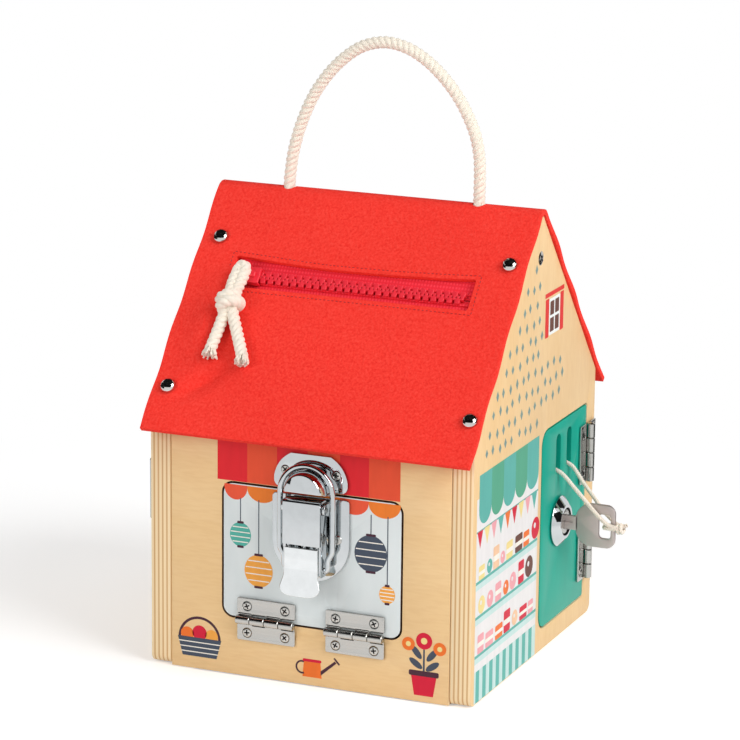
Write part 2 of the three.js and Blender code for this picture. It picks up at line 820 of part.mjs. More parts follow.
function latchBase() {
  const half = latchBaseWidth / 2;
  const bottom = latchBaseTop - latchBaseHeight;
  const shape = new THREE.Shape();
  shape.moveTo(frontCentre + half, bottom + half);
  shape.lineTo(frontCentre + half, latchBaseTop - latchBaseCorner);
  shape.absarc(frontCentre + half - latchBaseCorner, latchBaseTop - latchBaseCorner, latchBaseCorner,
    0, quarterTurn, false);
  shape.lineTo(frontCentre - half + latchBaseCorner, latchBaseTop);
  shape.absarc(frontCentre - half + latchBaseCorner, latchBaseTop - latchBaseCorner, latchBaseCorner,
    quarterTurn, Math.PI, false);
  shape.lineTo(frontCentre - half, bottom + half);
  shape.absarc(frontCentre, bottom + half, half, Math.PI, Math.PI * 2, false);
  const ear = new THREE.Shape();
  ear.moveTo(seam, leverPinUp + earRadius - earWidth);
  ear.absarc(leverPinDepth, leverPinUp, earRadius, -quarterTurn, quarterTurn, false);
  ear.lineTo(seam, leverPinUp + earRadius);
  const inner = leverWidth / 2 + earGap;
  const outer = inner + earThickness;
  const ears = [
    sidePlate(ear, frontCentre + inner, frontCentre + outer),
    sidePlate(ear, frontCentre - outer, frontCentre - inner),
  ];
  const bore = rod('x', leverPinRadius + runningClearance, -outer - overrun, outer + overrun,
    [frontCentre, leverPinUp, leverPinDepth]);
  return cut(join(plate(shape, seam, seam + plateThickness, cornerSteps * 2), ...ears),
    bore, ...atPlaces(rivetHole, rivetPlaces));
}

function leverPin() {
  const half = leverWidth / 2 + earGap + earThickness + leverPinOverhang;
  return rod('x', leverPinRadius, -half, half, [frontCentre, leverPinUp, leverPinDepth]);
}

// A channel with a flat face, open at the back and, below the face, at the front.
function latchLever() {
  const top = latchBaseTop + leverTopRise;
  const faceBottom = leverFaceBottom;
  const bottom = top - leverLength;
  const round = leverCorner;
  const half = leverWidth / 2;
  const profile = new THREE.Shape();
  profile.moveTo(leverBack, top - round);
  profile.lineTo(leverBack, bottom + round);
  profile.absarc(leverBack + round, bottom + round, round, Math.PI, Math.PI * 1.5, false);
  profile.absarc(leverCheekFront - round, bottom + round, round, -quarterTurn, 0, false);
  profile.lineTo(leverCheekFront, faceBottom);
  profile.lineTo(leverFront, faceBottom);
  profile.absarc(leverFront - round, top - round, round, 0, quarterTurn, false);
  profile.absarc(leverBack + round, top - round, round, quarterTurn, Math.PI, false);
  const inside = half - leverSheet;
  const low = frontCentre - inside;
  const high = frontCentre + inside;
  return cut(sidePlate(profile, frontCentre - half, frontCentre + half),
    block([low, faceBottom - overrun, 0], [high, top - leverSheet, leverFront - leverSheet]),
    block([low, bottom - overrun, 0], [high, faceBottom, leverFront + overrun]),
    rod('x', leverPinRadius + runningClearance, -half - overrun, half + overrun,
      [frontCentre, leverPinUp, leverPinDepth]),
    rod('x', catchPinRadius + runningClearance, -half - overrun, half + overrun,
      [frontCentre, catchPinUp, catchPinDepth]),
    rod('x', loopWireRadius + loopFootClearance, -half - overrun, half + overrun,
      [frontCentre, loopPivotUp, loopDepth]));
}

function catchPin() {
  const half = leverWidth / 2 + catchPinOverhang;
  return rod('x', catchPinRadius, -half, half, [frontCentre, catchPinUp, catchPinDepth]);
}

// The wire loop: up one leg, round the boss and down the other, with its feet turned inwards.
function latchLoop() {
  const legX = leverWidth / 2 + loopFootClearance + loopWireRadius;
  const jogLow = loopPivotUp + loopJogRise;
  const jogHigh = jogLow + loopJogLength;
  const crown = strikeBottom + bossRadius + loopClearance - loopInnerRadius;
  const side = (sign) => [
    [frontCentre + sign * legX, loopPivotUp, loopDepth],
    [frontCentre + sign * legX, jogLow, loopDepth],
    [frontCentre + sign * loopCentreRadius, jogHigh, loopDepth],
    [frontCentre + sign * loopCentreRadius, (jogHigh + crown) / 2, loopDepth],
  ];
  const points = side(-1);
  for (let k = 0; k <= loopArcPoints; k += 1) {
    const angle = Math.PI * (1 - k / loopArcPoints);
    points.push([frontCentre + loopCentreRadius * Math.cos(angle),
      crown + loopCentreRadius * Math.sin(angle), loopDepth]);
  }
  points.push(...side(1).reverse());
  const footEnd = leverWidth / 2 - loopFootOverrun;
  const feet = [-1, 1].flatMap((sign) => [
    rod('x', loopWireRadius, Math.min(sign * legX, sign * footEnd), Math.max(sign * legX, sign * footEnd),
      [frontCentre, loopPivotUp, loopDepth], screwSides),
    new THREE.SphereGeometry(loopWireRadius, screwSides, screwSides)
      .translate(frontCentre + sign * legX, loopPivotUp, loopDepth),
  ]);
  return join(tube(smooth(points), loopWireRadius, loopSteps, screwSides), ...feet);
}

// The thumb tab, which flares towards its lip, on two arms that turn on the catch pin.
function thumbCatch() {
  const top = leverFaceBottom - catchGap;
  const rings = catchTabShares.map(([downShare, widthShare, lipShare]) => {
    const up = top - catchLength * downShare;
    const half = (catchWidth * widthShare) / 2;
    const front = catchFront + catchLip * lipShare;
    return [
      new THREE.Vector3(frontCentre - half, up, front - catchSheet),
      new THREE.Vector3(frontCentre + half, up, front - catchSheet),
      new THREE.Vector3(frontCentre + half, up, front),
      new THREE.Vector3(frontCentre - half, up, front),
    ];
  });
  const web = catchFront - catchSheet / 2;
  const [highShare, lowShare] = catchArmShares;
  const arm = new THREE.Shape();
  arm.absarc(catchPinDepth, catchPinUp, catchBossRadius, -Math.PI / 8, Math.PI, false);
  arm.lineTo(web, top - catchLength * lowShare);
  arm.lineTo(web, top - catchLength * highShare);
  const outer = leverWidth / 2 - leverSheet - catchArmInset;
  const inner = outer - catchSheet;
  const arms = [
    sidePlate(arm, frontCentre + inner, frontCentre + outer),
    sidePlate(arm, frontCentre - outer, frontCentre - inner),
  ];
  const bore = rod('x', catchPinRadius + runningClearance, -outer - overrun, outer + overrun,
    [frontCentre, catchPinUp, catchPinDepth]);
  return cut(join(loft(rings), ...arms), bore);
}

// Doors

function frontDoor() {
  const half = frontDoorWidth / 2;
  const round = frontDoorRound - doorGap;
  const shape = roundedRectangle(new THREE.Shape(), frontCentre - half, frontDoorSill + doorGap,
    frontCentre + half, frontDoorTop, round, round);
  return cut(plate(shape, -panelPly, 0),
    ...atPlaces(hingeScrewHole, hingeScrews(frontHinges, 1)),
    ...atPlaces(rivetHole, rivetPlaces));
}

function gableDoor(width, height, sill, round, hingeRound) {
  const high = sideOpeningRear - doorGap;
  const low = sill + doorGap;
  return roundedRectangle(new THREE.Shape(), high - width, low, high, low + height,
    round - doorGap, hingeRound - doorGap);
}

const slotAcross = [1, 0].map((k) => sideOpeningRear - slotFromStile - k * slotPitch);

function sideDoor() {
  const shape = gableDoor(sideDoorWidth, sideDoorHeight, sideDoorSill, sideDoorRound, sideDoorHingeRound);
  const half = slotWidth / 2;
  slotAcross.forEach((x) => shape.holes.push(roundedRectangle(new THREE.Path(),
    x - half, slotTop - slotLength, x + half, slotTop, half, half)));
  const lockHole = rod('z', lockBarrelRadius + seam, -panelPly - overrun, overrun,
    [lockAcross, lockHeight, 0], lockSides);
  return cut(plate(shape, -panelPly, 0), lockHole,
    ...atPlaces(hingeScrewHole, hingeScrews(sideHinges, 1)));
}

function leftDoor() {
  const shape = gableDoor(leftDoorWidth, leftDoorHeight, leftDoorSill, sideDoorRound, sideDoorHingeRound);
  return cut(plate(shape, -panelPly, 0), ...atPlaces(hingeScrewHole, hingeScrews(leftHinge, 1)));
}

const buttonPlace = [
  sideOpeningRear - leftDoorWidth - doorGap * 2 - buttonFromDoor,
  leftDoorSill + doorGap + leftDoorHeight / 2,
];
const buttonScrewTop = seam + buttonThickness;
const buttonScrewLength = buttonScrewTop + screwLength;

function turnButton() {
  const [x, y] = buttonPlace;
  const half = buttonWidth / 2;
  const shape = roundedRectangle(new THREE.Shape(), x - half, y - buttonLength / 2,
    x + half, y + buttonLength / 2, half, half);
  return cut(plate(shape, seam, buttonScrewTop),
    ...atPlaces(screw(buttonScrewTop, seam, buttonScrewLength), [buttonPlace]));
}

// Cam lock, about its own axis

function lockBody() {
  const bore = lockPlugRadius + runningClearance;
  const rimRound = lockFlangeEdge / 2;
  return turned([
    [bore, -lockBarrelLength],
    [lockBarrelRadius, -lockBarrelLength],
    [lockBarrelRadius, seam],
    [lockFlangeRadius, seam],
    [lockFlangeRadius, seam + lockFlangeEdge],
    [lockFaceRadius, lockFaceHeight - rimRound],
    [lockFaceRadius - rimRound, lockFaceHeight],
    [bore + rimRound, lockFaceHeight],
    [bore, lockFaceHeight - rimRound],
    [bore, -lockBarrelLength],
  ], lockSides);
}

const plugFront = lockFaceHeight - lockPlugRecess;
const plugBack = -lockBarrelLength - seam;
const camFront = -gablePly - camClearance;
const camBack = camFront - camThickness;
const tailEnd = camBack - runningClearance;

function lockPlug() {
  const slotHalf = keyThickness / 2 + screwClearance;
  const slotHigh = keyBladeHeight / 2 + screwClearance;
  const tail = lockTail / 2;
  return cut(
    join(rod('z', lockPlugRadius, plugBack, plugFront, [0, 0, 0], lockSides),
      block([-tail, -tail, tailEnd], [tail, tail, plugBack + overrun])),
    block([-slotHalf, -slotHigh, plugFront - keyBladeDepth - seam], [slotHalf, slotHigh, plugFront + overrun]),
    rod('z', camScrewShank + screwClearance, tailEnd - overrun, tailEnd + camScrewLength + seam, [0, 0, 0]));
}

function lockNut() {
  const radius = lockNutWidth / 2 / Math.cos(Math.PI / 6);
  const shape = new THREE.Shape();
  for (let k = 0; k < 6; k += 1) {
    const angle = (k * Math.PI) / 3;
    shape[k === 0 ? 'moveTo' : 'lineTo'](radius * Math.cos(angle), radius * Math.sin(angle));
  }
  const hole = new THREE.Path();
  hole.absarc(0, 0, lockBarrelRadius + seam, 0, Math.PI * 2, false);
  shape.holes.push(hole);
  const front = -panelPly - seam;
  return closed(plate(shape, front - lockNutThickness, front, cornerSteps * 2));
}

// The cam hangs down at rest, clear of the gable. A quarter turn takes it behind the gable.
function lockCam() {
  const spread = Math.asin(camWidth / 2 / camHubRadius);
  const tip = camTipWidth / 2;
  const shape = new THREE.Shape();
  shape.absarc(0, 0, camHubRadius, spread - quarterTurn, Math.PI * 1.5 - spread, false);
  shape.absarc(0, tip - camLength, tip, Math.PI, Math.PI * 2, false);
  const half = lockTail / 2 + screwClearance;
  const hole = new THREE.Path();
  hole.moveTo(-half, -half);
  hole.lineTo(-half, half);
  hole.lineTo(half, half);
  hole.lineTo(half, -half);
  shape.holes.push(hole);
  return closed(plate(shape, camBack, camFront, cornerSteps * 2));
}

function camScrew() {
  const head = tailEnd - seam;
  return turned([
    [0, head - camScrewHeadHeight],
    [camScrewHead * camScrewTopShare, head - camScrewHeadHeight],
    [camScrewHead, head - camScrewHeadHeight / 2],
    [camScrewHead, head],
    [camScrewShank, head],
    [camScrewShank, head + camScrewLength],
    [0, head + camScrewLength],
  ], pinSides);
}

// The key stands upright in the plug, its bow drawn in depth and height.
function lockKey() {
  const tip = plugFront - keyBladeDepth;
  const half = keyBladeHeight / 2;
  const blade = new THREE.Shape();
  const step = (keyBladeDepth - keyBitting) / keyBittingCount;
  blade.moveTo(tip, keyBitting - half);
  for (let k = 0; k < keyBittingCount; k += 1) {
    const start = tip + keyBitting / 2 + step * k;
    blade.lineTo(start, -half);
    blade.lineTo(start + step / 2, keyBitting * keyBittingShares[k % 2] - half);
  }
  blade.lineTo(tip + keyBitting / 2 + step * keyBittingCount, -half);
  blade.lineTo(keyShoulder + overrun, -half);
  blade.lineTo(keyShoulder + overrun, half);
  blade.lineTo(tip + keyBitting, half);
  const bow = roundedRectangle(new THREE.Shape(), keyShoulder, -keyBowHeight / 2,
    keyShoulder + keyBowLength, keyBowHeight / 2, keyBowRound, keyBowFarRound);
  const far = keyShoulder + keyBowLength - keyHoleMargin;
  bow.holes.push(roundedRectangle(new THREE.Path(), far - keyHoleWidth, -keyHoleHeight / 2,
    far, keyHoleHeight / 2, keyHoleRound, keyHoleRound));
  const thin = keyThickness / 2;
  return join(sidePlate(blade, -thin, thin), sidePlate(bow, -thin, thin));
}

// The string's route from the middle of the lock: across, up, and out of the side door. It runs from
// the knot at the key's rim up to one slot, behind the door to the other slot, and back to the knot.
const stringRoute = [
  [0, 0, 32.4], [-1.9, 0.6, 30.6], [-2.9, 1.9, 26.5], [-2.9, 6.2, 21], [-2.7, 12.2, 15], [-2.5, 18.7, 8.5],
  [-2.3, 24.1, 3], [-2.3, 26.1, -0.5], [-2.2, 26.7, -4.5], [-1.1, 26.9, -7.2], [1.7, 26.9, -8.1],
  [5.3, 26.8, -8.3], [9, 26.9, -8.1], [11.7, 26.9, -7.2], [12.8, 26.7, -4.5], [12.9, 26.1, -0.5],
  [12.4, 24.1, 3], [10.3, 18.2, 8.5], [7.9, 12.2, 15], [5.3, 6.2, 21.5], [3.6, 1.9, 27.5], [2.1, 0.6, 30.8],
  [0, 0, 32.4],
];

// The string's turn through the hole of the key and round its rim, and its loose end.
const keyTurn = [
  [0, 0, 31.2], [2.4, 0, 30.5], [2.7, 0, 27.6], [2.4, 0, 24.9], [0, 0, 24.2],
  [-2.4, 0, 24.9], [-2.7, 0, 27.6], [-2.4, 0, 30.5], [0, 0, 31.2],
];
const stringTailRoute = [[0, 0, 32.4], [0.5, 1.1, 34.6], [0.2, 2.1, 37]];

function keyString() {
  const routed = (points) => smooth(points.map(([x, up, out]) => [lockAcross + x, lockHeight + up, out]));
  const halfWay = Math.ceil(stringRoute.length / 2);
  const strands = [stringRoute.slice(0, halfWay), stringRoute.slice(halfWay - 1)];
  const [, , knotOut] = stringRoute[0];
  return join(
    new THREE.SphereGeometry(stringKnotRadius, stringSides, stringSides).translate(lockAcross, lockHeight, knotOut),
    ...strands.map((points) => tube(routed(points), stringRadius, stringSteps / 2, stringSides)),
    tube(routed(keyTurn), stringRadius, stringTurnSteps, stringSides),
    tube(routed(stringTailRoute), stringRadius, cornerSteps, stringSides));
}

// Zip, drawn across and up the front slope

function zipSide(side) {
  const half = zipWindowLength / 2 + zipTapeOverlap;
  const near = zipUp + (side * zipSlit) / 2;
  const far = zipUp + side * zipTapeWidth;
  const tape = block([zipCentre - half, Math.min(near, far), -zipTapeThickness],
    [zipCentre + half, Math.max(near, far), 0]);
  const tooth = new THREE.Shape();
  const wide = zipToothWidth / 2;
  const narrow = zipToothTip / 2;
  tooth.moveTo(-wide, side * zipToothRoot);
  tooth.lineTo(-wide, side * zipToothReach);
  tooth.lineTo(-narrow, -side * zipToothReach);
  tooth.lineTo(narrow, -side * zipToothReach);
  tooth.lineTo(wide, side * zipToothReach);
  tooth.lineTo(wide, side * zipToothRoot);
  const across = [side * zipToothReach, side * zipToothRoot].sort((a, b) => a - b);
  const body = join(plate(tooth, seam, zipToothHeight),
    block([-wide, across[0], -zipTapeThickness / 2], [wide, across[1], zipToothHeight / 2]));
  const count = Math.floor((zipWindowLength - zipToothPitch) / zipToothPitch);
  const start = zipCentre - ((count - 1) * zipToothPitch) / 2 + (side * zipToothPitch) / 4;
  const teeth = [];
  for (let k = 0; k < count; k += 1) {
    teeth.push(body.clone().translate(start + k * zipToothPitch, zipUp, 0));
  }
  return join(tape, ...teeth);
}

// The slider rides over the teeth, with a wall along each side and a bridge on top for the rope.
function zipSlider() {
  const low = zipSliderLow;
  const high = low + zipSliderTop;
  const half = zipSliderLength / 2;
  const wide = zipSliderWidth / 2;
  const nose = zipSliderNose / 2;
  const bend = half * zipSliderBendShare;
  const plan = new THREE.Shape();
  plan.moveTo(sliderCentre - half, zipUp - nose);
  plan.lineTo(sliderCentre - bend, zipUp - wide);
  plan.lineTo(sliderCentre + half, zipUp - wide);
  plan.lineTo(sliderCentre + half, zipUp + wide);
  plan.lineTo(sliderCentre - bend, zipUp + wide);
  plan.lineTo(sliderCentre - half, zipUp + nose);
  const wallLow = zipSliderGap;
  const walls = [-1, 1].map((side) => {
    const edges = [side * wide, side * (wide - zipSliderWall)].sort((a, b) => a - b);
    return block([sliderCentre - bend, zipUp + edges[0], wallLow], [sliderCentre + half, zipUp + edges[1], high]);
  });
  const bridge = block([sliderCentre - zipBridgeLength / 2, zipUp - zipBridgeWidth / 2, low],
    [sliderCentre + zipBridgeLength / 2, zipUp + zipBridgeWidth / 2, high + zipBridgeHeight]);
  return join(plate(plan, low, high), ...walls, bridge);
}

// The rope pull: a doubled neck round the slider's bridge, a knot, and two loose ends. Its places are
// measured from the slider's middle.
const besideSlider = ([x, up]) => [sliderCentre + x, zipUp + up];

function zipPull() {
  const [eyeX, eyeUp] = besideSlider(pullEyePlace);
  const [knotX, knotUp] = besideSlider(pullKnotPlace);
  const lying = feltTop + pullLift + pullRopeRadius;
  const knotHigh = feltTop + pullLift + pullKnotHeight / 2;
  const strand = (points) => tube(smooth(points), pullRopeRadius, pullSteps, screwSides);
  const pair = [-1, 1].map((side) => strand([
    [eyeX + side * pullNeckHalf, eyeUp + pullNeckHalf, lying],
    [eyeX + side * pullNeckHalf, (eyeUp + knotUp) / 2, lying],
    [knotX, knotUp, knotHigh],
  ]));
  const crown = new THREE.SphereGeometry(1, pinSides, screwSides)
    .scale(pullNeckHalf + pullRopeRadius, pullNeckHalf + pullRopeRadius, pullRopeRadius)
    .translate(eyeX, eyeUp + pullNeckHalf, lying);
  const knot = new THREE.SphereGeometry(1, pinSides, screwSides)
    .scale(pullKnotWidth / 2, pullKnotLength / 2, pullKnotHeight / 2)
    .translate(knotX, knotUp, knotHigh);
  const tails = pullTailPlaces.map(besideSlider).map(([x, up]) => strand([
    [knotX, knotUp, knotHigh],
    [(x + knotX) / 2, (up + knotUp) / 2, lying],
    [x, up, lying],
  ]));
  const high = zipSliderLow + zipSliderTop;
  const alongSlider = zipSliderLength / 2 + seam;
  const acrossSlider = zipSliderWidth / 2 + seam;
  const alongBridge = zipBridgeLength / 2 + seam;
  const acrossBridge = zipBridgeWidth / 2 + seam;
  return cut(join(crown, knot, ...pair, ...tails),
    block([sliderCentre - alongSlider, zipUp - acrossSlider, 0],
      [sliderCentre + alongSlider, zipUp + acrossSlider, high + seam]),
    block([sliderCentre - alongBridge, zipUp - acrossBridge, 0],
      [sliderCentre + alongBridge, zipUp + acrossBridge, high + zipBridgeHeight + seam]));
}

// Carrying handle

// The rope's centreline, across from the handle's middle and up from the felt's peak.
const handleRoute = [
  [-48.5, 3.3], [-47.8, 9.8], [-46.3, 18.8], [-42.8, 30.8], [-37.5, 43.3], [-30.9, 53.8], [-22.3, 63.4],
  [-12, 70.8], [-0.5, 73.8], [10.5, 72.1], [20.3, 67.1], [28.8, 60], [36, 51.8], [41.6, 42.8], [46, 32.8],
  [48.2, 22.3], [48.6, 11.8], [48.5, 3.3],
];

// The route is stretched so that it starts and ends over the handle's feet.
function handleRope() {
  const routeSpan = handleRoute[handleRoute.length - 1][0] - handleRoute[0][0];
  const points = handleRoute.map(([x, rise]) => [handleCentre + (x * handleSpan) / routeSpan, 0, feltPeak + rise]);
  const ends = [points[0], points[points.length - 1]].map((p) => (
    new THREE.SphereGeometry(handleRopeRadius, ropeSides, screwSides).translate(...p)));
  return join(tube(smooth(points), handleRopeRadius, archSteps, ropeSides), ...ends);
}

function ropeKnots() {
  const knotTop = battenBottom - seam;
  return handleFeet.map((x) => join(
    rod('z', handleRopeRadius, knotTop - ropeKnotHeight, feltPeak, [x, 0, 0], ropeSides),
    new THREE.SphereGeometry(1, ropeSides, screwSides)
      .scale(ropeKnotRadius, ropeKnotRadius, ropeKnotHeight / 2)
      .translate(x, 0, knotTop - ropeKnotHeight / 2)));
}

// The house, assembled

add(rightFrame, 'right_gable', gable(rightFrame,
  gableDoorway(sideDoorWidth, sideDoorHeight, sideDoorSill, sideDoorRound, sideDoorHingeRound),
  sideHinges, []), birch());
add(leftFrame, 'left_gable', gable(leftFrame,
  gableDoorway(leftDoorWidth, leftDoorHeight, leftDoorSill, sideDoorRound, sideDoorHingeRound),
  leftHinge, atPlaces(screw(buttonScrewTop, screwClearance, buttonScrewLength), [buttonPlace])), birch());
add(frontFrame, 'front_wall', frontWall(), birch());
add(backFrame, 'back_wall', closed(block([-panelHalfWidth, 0, -panelPly],
  [panelHalfWidth, shoulderHeight - seam, 0])), birch());
const floorHalf = halfDepth - panelPly - seam;
add(model, 'floor_panel', closed(block([-panelHalfWidth, -floorHalf, 0],
  [panelHalfWidth, floorHalf, panelPly])), birch());
add(crossFrame, 'ridge_batten', ridgeBatten(), birch());
addEach(crossFrame, 'ridge_screw', [
  ridgeScrew().translate(0, 0, halfWidth),
  ridgeScrew().rotateY(Math.PI).translate(0, 0, -halfWidth)], steel);

add(crossFrame, 'felt_roof', feltRoof(crossFrame), felt());
addEach(frontSlope, 'front_roof_stud', atPlaces(stud(), studPlaces), steel);
addEach(backSlope, 'back_roof_stud', atPlaces(stud(), studPlaces), steel);
add(frontSlope, 'zip_upper_side', zipSide(1), zipPlastic());
add(frontSlope, 'zip_lower_side', zipSide(-1), zipPlastic());
add(frontSlope, 'zip_slider', zipSlider(), zipPlastic());
add(frontSlope, 'zip_pull', zipPull(), cotton());
add(model, 'handle_rope', handleRope(), cotton());
addEach(model, 'rope_knot', ropeKnots(), cotton);

add(frontFrame, 'front_door', frontDoor(), whitePaint());
frontHinges.forEach((place, k) => addHinge(frontFrame, `front_hinge_${k + 1}`, place));
add(frontFrame, 'strike_plate', strikePlate(), chrome());
addEach(frontFrame, 'strike_screw', atPlaces(screw(strikeScrewTop), strikeScrewPlaces), steel);
add(frontFrame, 'latch_base', latchBase(), chrome());
add(frontFrame, 'lever_pin', leverPin(), steel());
add(frontFrame, 'latch_lever', latchLever(), chrome());
add(frontFrame, 'catch_pin', catchPin(), steel());
add(frontFrame, 'latch_loop', latchLoop(), chrome());
add(frontFrame, 'thumb_catch', thumbCatch(), chrome());

add(rightFrame, 'side_door', sideDoor(), paintedWood());
sideHinges.forEach((place, k) => addHinge(rightFrame, `side_hinge_${k + 1}`, place));
const lockFrame = new THREE.Group();
lockFrame.position.set(lockAcross, lockHeight, 0);
rightFrame.add(lockFrame);
add(lockFrame, 'lock_body', lockBody(), chrome());
add(lockFrame, 'lock_nut', lockNut(), steel());
add(lockFrame, 'lock_plug', lockPlug(), steel());
add(lockFrame, 'lock_cam', lockCam(), steel());
add(lockFrame, 'cam_screw', camScrew(), steel());
add(lockFrame, 'lock_key', lockKey(), steel());
add(rightFrame, 'key_string', keyString(), cotton());

add(leftFrame, 'left_door', leftDoor(), birch());
leftHinge.forEach((place) => addHinge(leftFrame, 'left_hinge', place));
add(leftFrame, 'turn_button', turnButton(), birch());
add(leftFrame, 'turn_button_screw', closed(screw(buttonScrewTop, 0, buttonScrewLength).translate(...buttonPlace, 0)), steel());

export default model;
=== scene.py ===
"""Dresses the activity house: plywood, felt, zip, latch, lock, ropes and printed walls."""

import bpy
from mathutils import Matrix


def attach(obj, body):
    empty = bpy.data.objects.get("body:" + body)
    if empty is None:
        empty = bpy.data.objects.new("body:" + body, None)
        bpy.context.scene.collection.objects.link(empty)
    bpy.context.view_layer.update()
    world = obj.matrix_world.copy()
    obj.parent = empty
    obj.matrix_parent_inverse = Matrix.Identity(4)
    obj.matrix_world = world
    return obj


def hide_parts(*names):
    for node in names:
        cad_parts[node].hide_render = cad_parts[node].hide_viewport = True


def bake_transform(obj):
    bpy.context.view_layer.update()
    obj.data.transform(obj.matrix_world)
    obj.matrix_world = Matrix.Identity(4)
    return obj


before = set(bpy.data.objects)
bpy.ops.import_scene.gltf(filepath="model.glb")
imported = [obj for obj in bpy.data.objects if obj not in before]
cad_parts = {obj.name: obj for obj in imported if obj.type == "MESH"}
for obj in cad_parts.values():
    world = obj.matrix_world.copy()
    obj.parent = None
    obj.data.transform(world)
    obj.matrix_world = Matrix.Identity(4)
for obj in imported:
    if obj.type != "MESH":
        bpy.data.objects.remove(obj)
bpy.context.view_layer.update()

import logging
import math
import random
from dataclasses import dataclass, field
from enum import Enum
from typing import Iterable, Sequence

import bmesh
import bpy
from mathutils import Matrix, Vector

LOG = logging.getLogger("activity_house")
MM = 0.001
Point = tuple[float, float, float]
Flat = tuple[float, float]
Piece = bpy.types.Object
Tree = bpy.types.NodeTree
Socket = bpy.types.NodeSocket
Material = bpy.types.Material


class Body(str, Enum):
    """The bodies of the house that pieces ride on."""

    HOUSE = "house"
    FRONT_DOOR = "front_door_body"
    LEVER = "lever_body"
    LOOP = "loop_body"
    CATCH = "thumb_catch_body"
    SIDE_DOOR = "side_door_body"
    PLUG = "lock_plug_body"
    LEFT_DOOR = "left_door_body"
    BUTTON = "turn_button_body"
    SLIDER = "zip_slider_body"
    PULL = "zip_pull_body"
    HANDLE = "handle_rope_body"


def linear(code: str) -> tuple[float, float, float, float]:
    """Turns an sRGB hex value into linear light."""
    values = [int(code[k:k + 2], 16) / 255 for k in (1, 3, 5)]
    light = [v / 12.92 if v <= 0.04045 else ((v + 0.055) / 1.055) ** 2.4 for v in values]
    return (light[0], light[1], light[2], 1.0)


def put(tree: Tree, kind: str, settings: dict | None = None, links: dict | None = None) -> bpy.types.Node:
    """Adds a node, sets its properties and inputs, and links what feeds it.

    Args:
        tree: The node tree that gets the node.
        kind: The shader node's type, without its common first part.
        settings: Property or input names, or input numbers, with their values.
        links: Input names or numbers with the sockets that feed them.

    Returns:
        The new node.
    """
    node = tree.nodes.new(f"ShaderNode{kind}")
    for key, value in (settings or {}).items():
        if isinstance(key, str) and hasattr(node, key) and key not in node.inputs:
            setattr(node, key, value)
        else:
            node.inputs[key].default_value = value
    for key, socket in (links or {}).items():
        tree.links.new(socket, node.inputs[key])
    return node


def ramp(tree: Tree, factor: Socket, stops: Sequence[tuple[float, str]]) -> Socket:
    """Maps a factor to colours."""
    node = put(tree, "ValToRGB", links={0: factor})
    elements = node.color_ramp.elements
    while len(elements) < len(stops):
        elements.new(0.5)
    for element, (place, code) in zip(elements, stops):
        element.position = place
        element.color = linear(code)
    return node.outputs[0]


def begin(name: str, sockets: dict) -> tuple[Material, Tree, bpy.types.Node]:
    """Starts a material whose shader has the values that are the same all over.

    Args:
        name: The material's name.
        sockets: The principled shader's socket names with their values.

    Returns:
        The material, its node tree and its shader node.
    """
    material = bpy.data.materials.new(name)
    material.use_nodes = True
    shader = material.node_tree.nodes["Principled BSDF"]
    for socket, value in sockets.items():
        shader.inputs[socket].default_value = value
    return material, material.node_tree, shader


def each(size: float) -> float:
    """Gives a pattern's scale from the size of one of its marks, in millimetres."""
    return 1 / (size * MM)


def coordinates(tree: Tree, marks: Point) -> Socket:
    """Gives the piece's own coordinates, counted in marks of a size in millimetres along each axis."""
    place = put(tree, "TexCoord")
    scale = tuple(each(size) for size in marks)
    return put(tree, "Mapping", {"Scale": scale}, {"Vector": place.outputs["Object"]}).outputs[0]


def tinted(tree: Tree, color: Socket | str, pattern: bpy.types.Node, share: float, dark: str,
        full: float = 0.65) -> Socket:
    """Darkens a colour a little where a pattern is low.

    Args:
        tree: The node tree.
        color: The colour's socket, or an sRGB hex value.
        pattern: The node whose first output is the pattern.
        share: How much of the darker tint shows.
        dark: The tint's sRGB hex value.
        full: The pattern's level from which the colour is left as it is.

    Returns:
        The colour socket.
    """
    tint = ramp(tree, pattern.outputs[0], [(0.35, dark), (full, "#FFFFFF")])
    node = put(tree, "Mix", {"data_type": "RGBA", "blend_type": "MULTIPLY", 0: share}, {7: tint})
    if isinstance(color, str):
        node.inputs[6].default_value = linear(color)
    else:
        tree.links.new(color, node.inputs[6])
    return node.outputs[2]


def bump(tree: Tree, shader: bpy.types.Node, height: Socket, depth: float, strength: float = 1.0) -> None:
    """Gives a shader a bump from a height, with its depth in millimetres."""
    node = put(tree, "Bump", {"Distance": depth * MM, "Strength": strength}, {"Height": height})
    tree.links.new(node.outputs[0], shader.inputs["Normal"])


class Finish:
    """A finish that makes its material once and gives it again, with the record's slot for it."""

    title: str = "finish"
    slot: str = ""

    def build(self) -> Material:
        """Makes the material."""
        raise NotImplementedError

    def material(self) -> Material:
        """Gives the material, made on first use."""
        found = bpy.data.materials.get(self.title)
        return found if found else self.build()


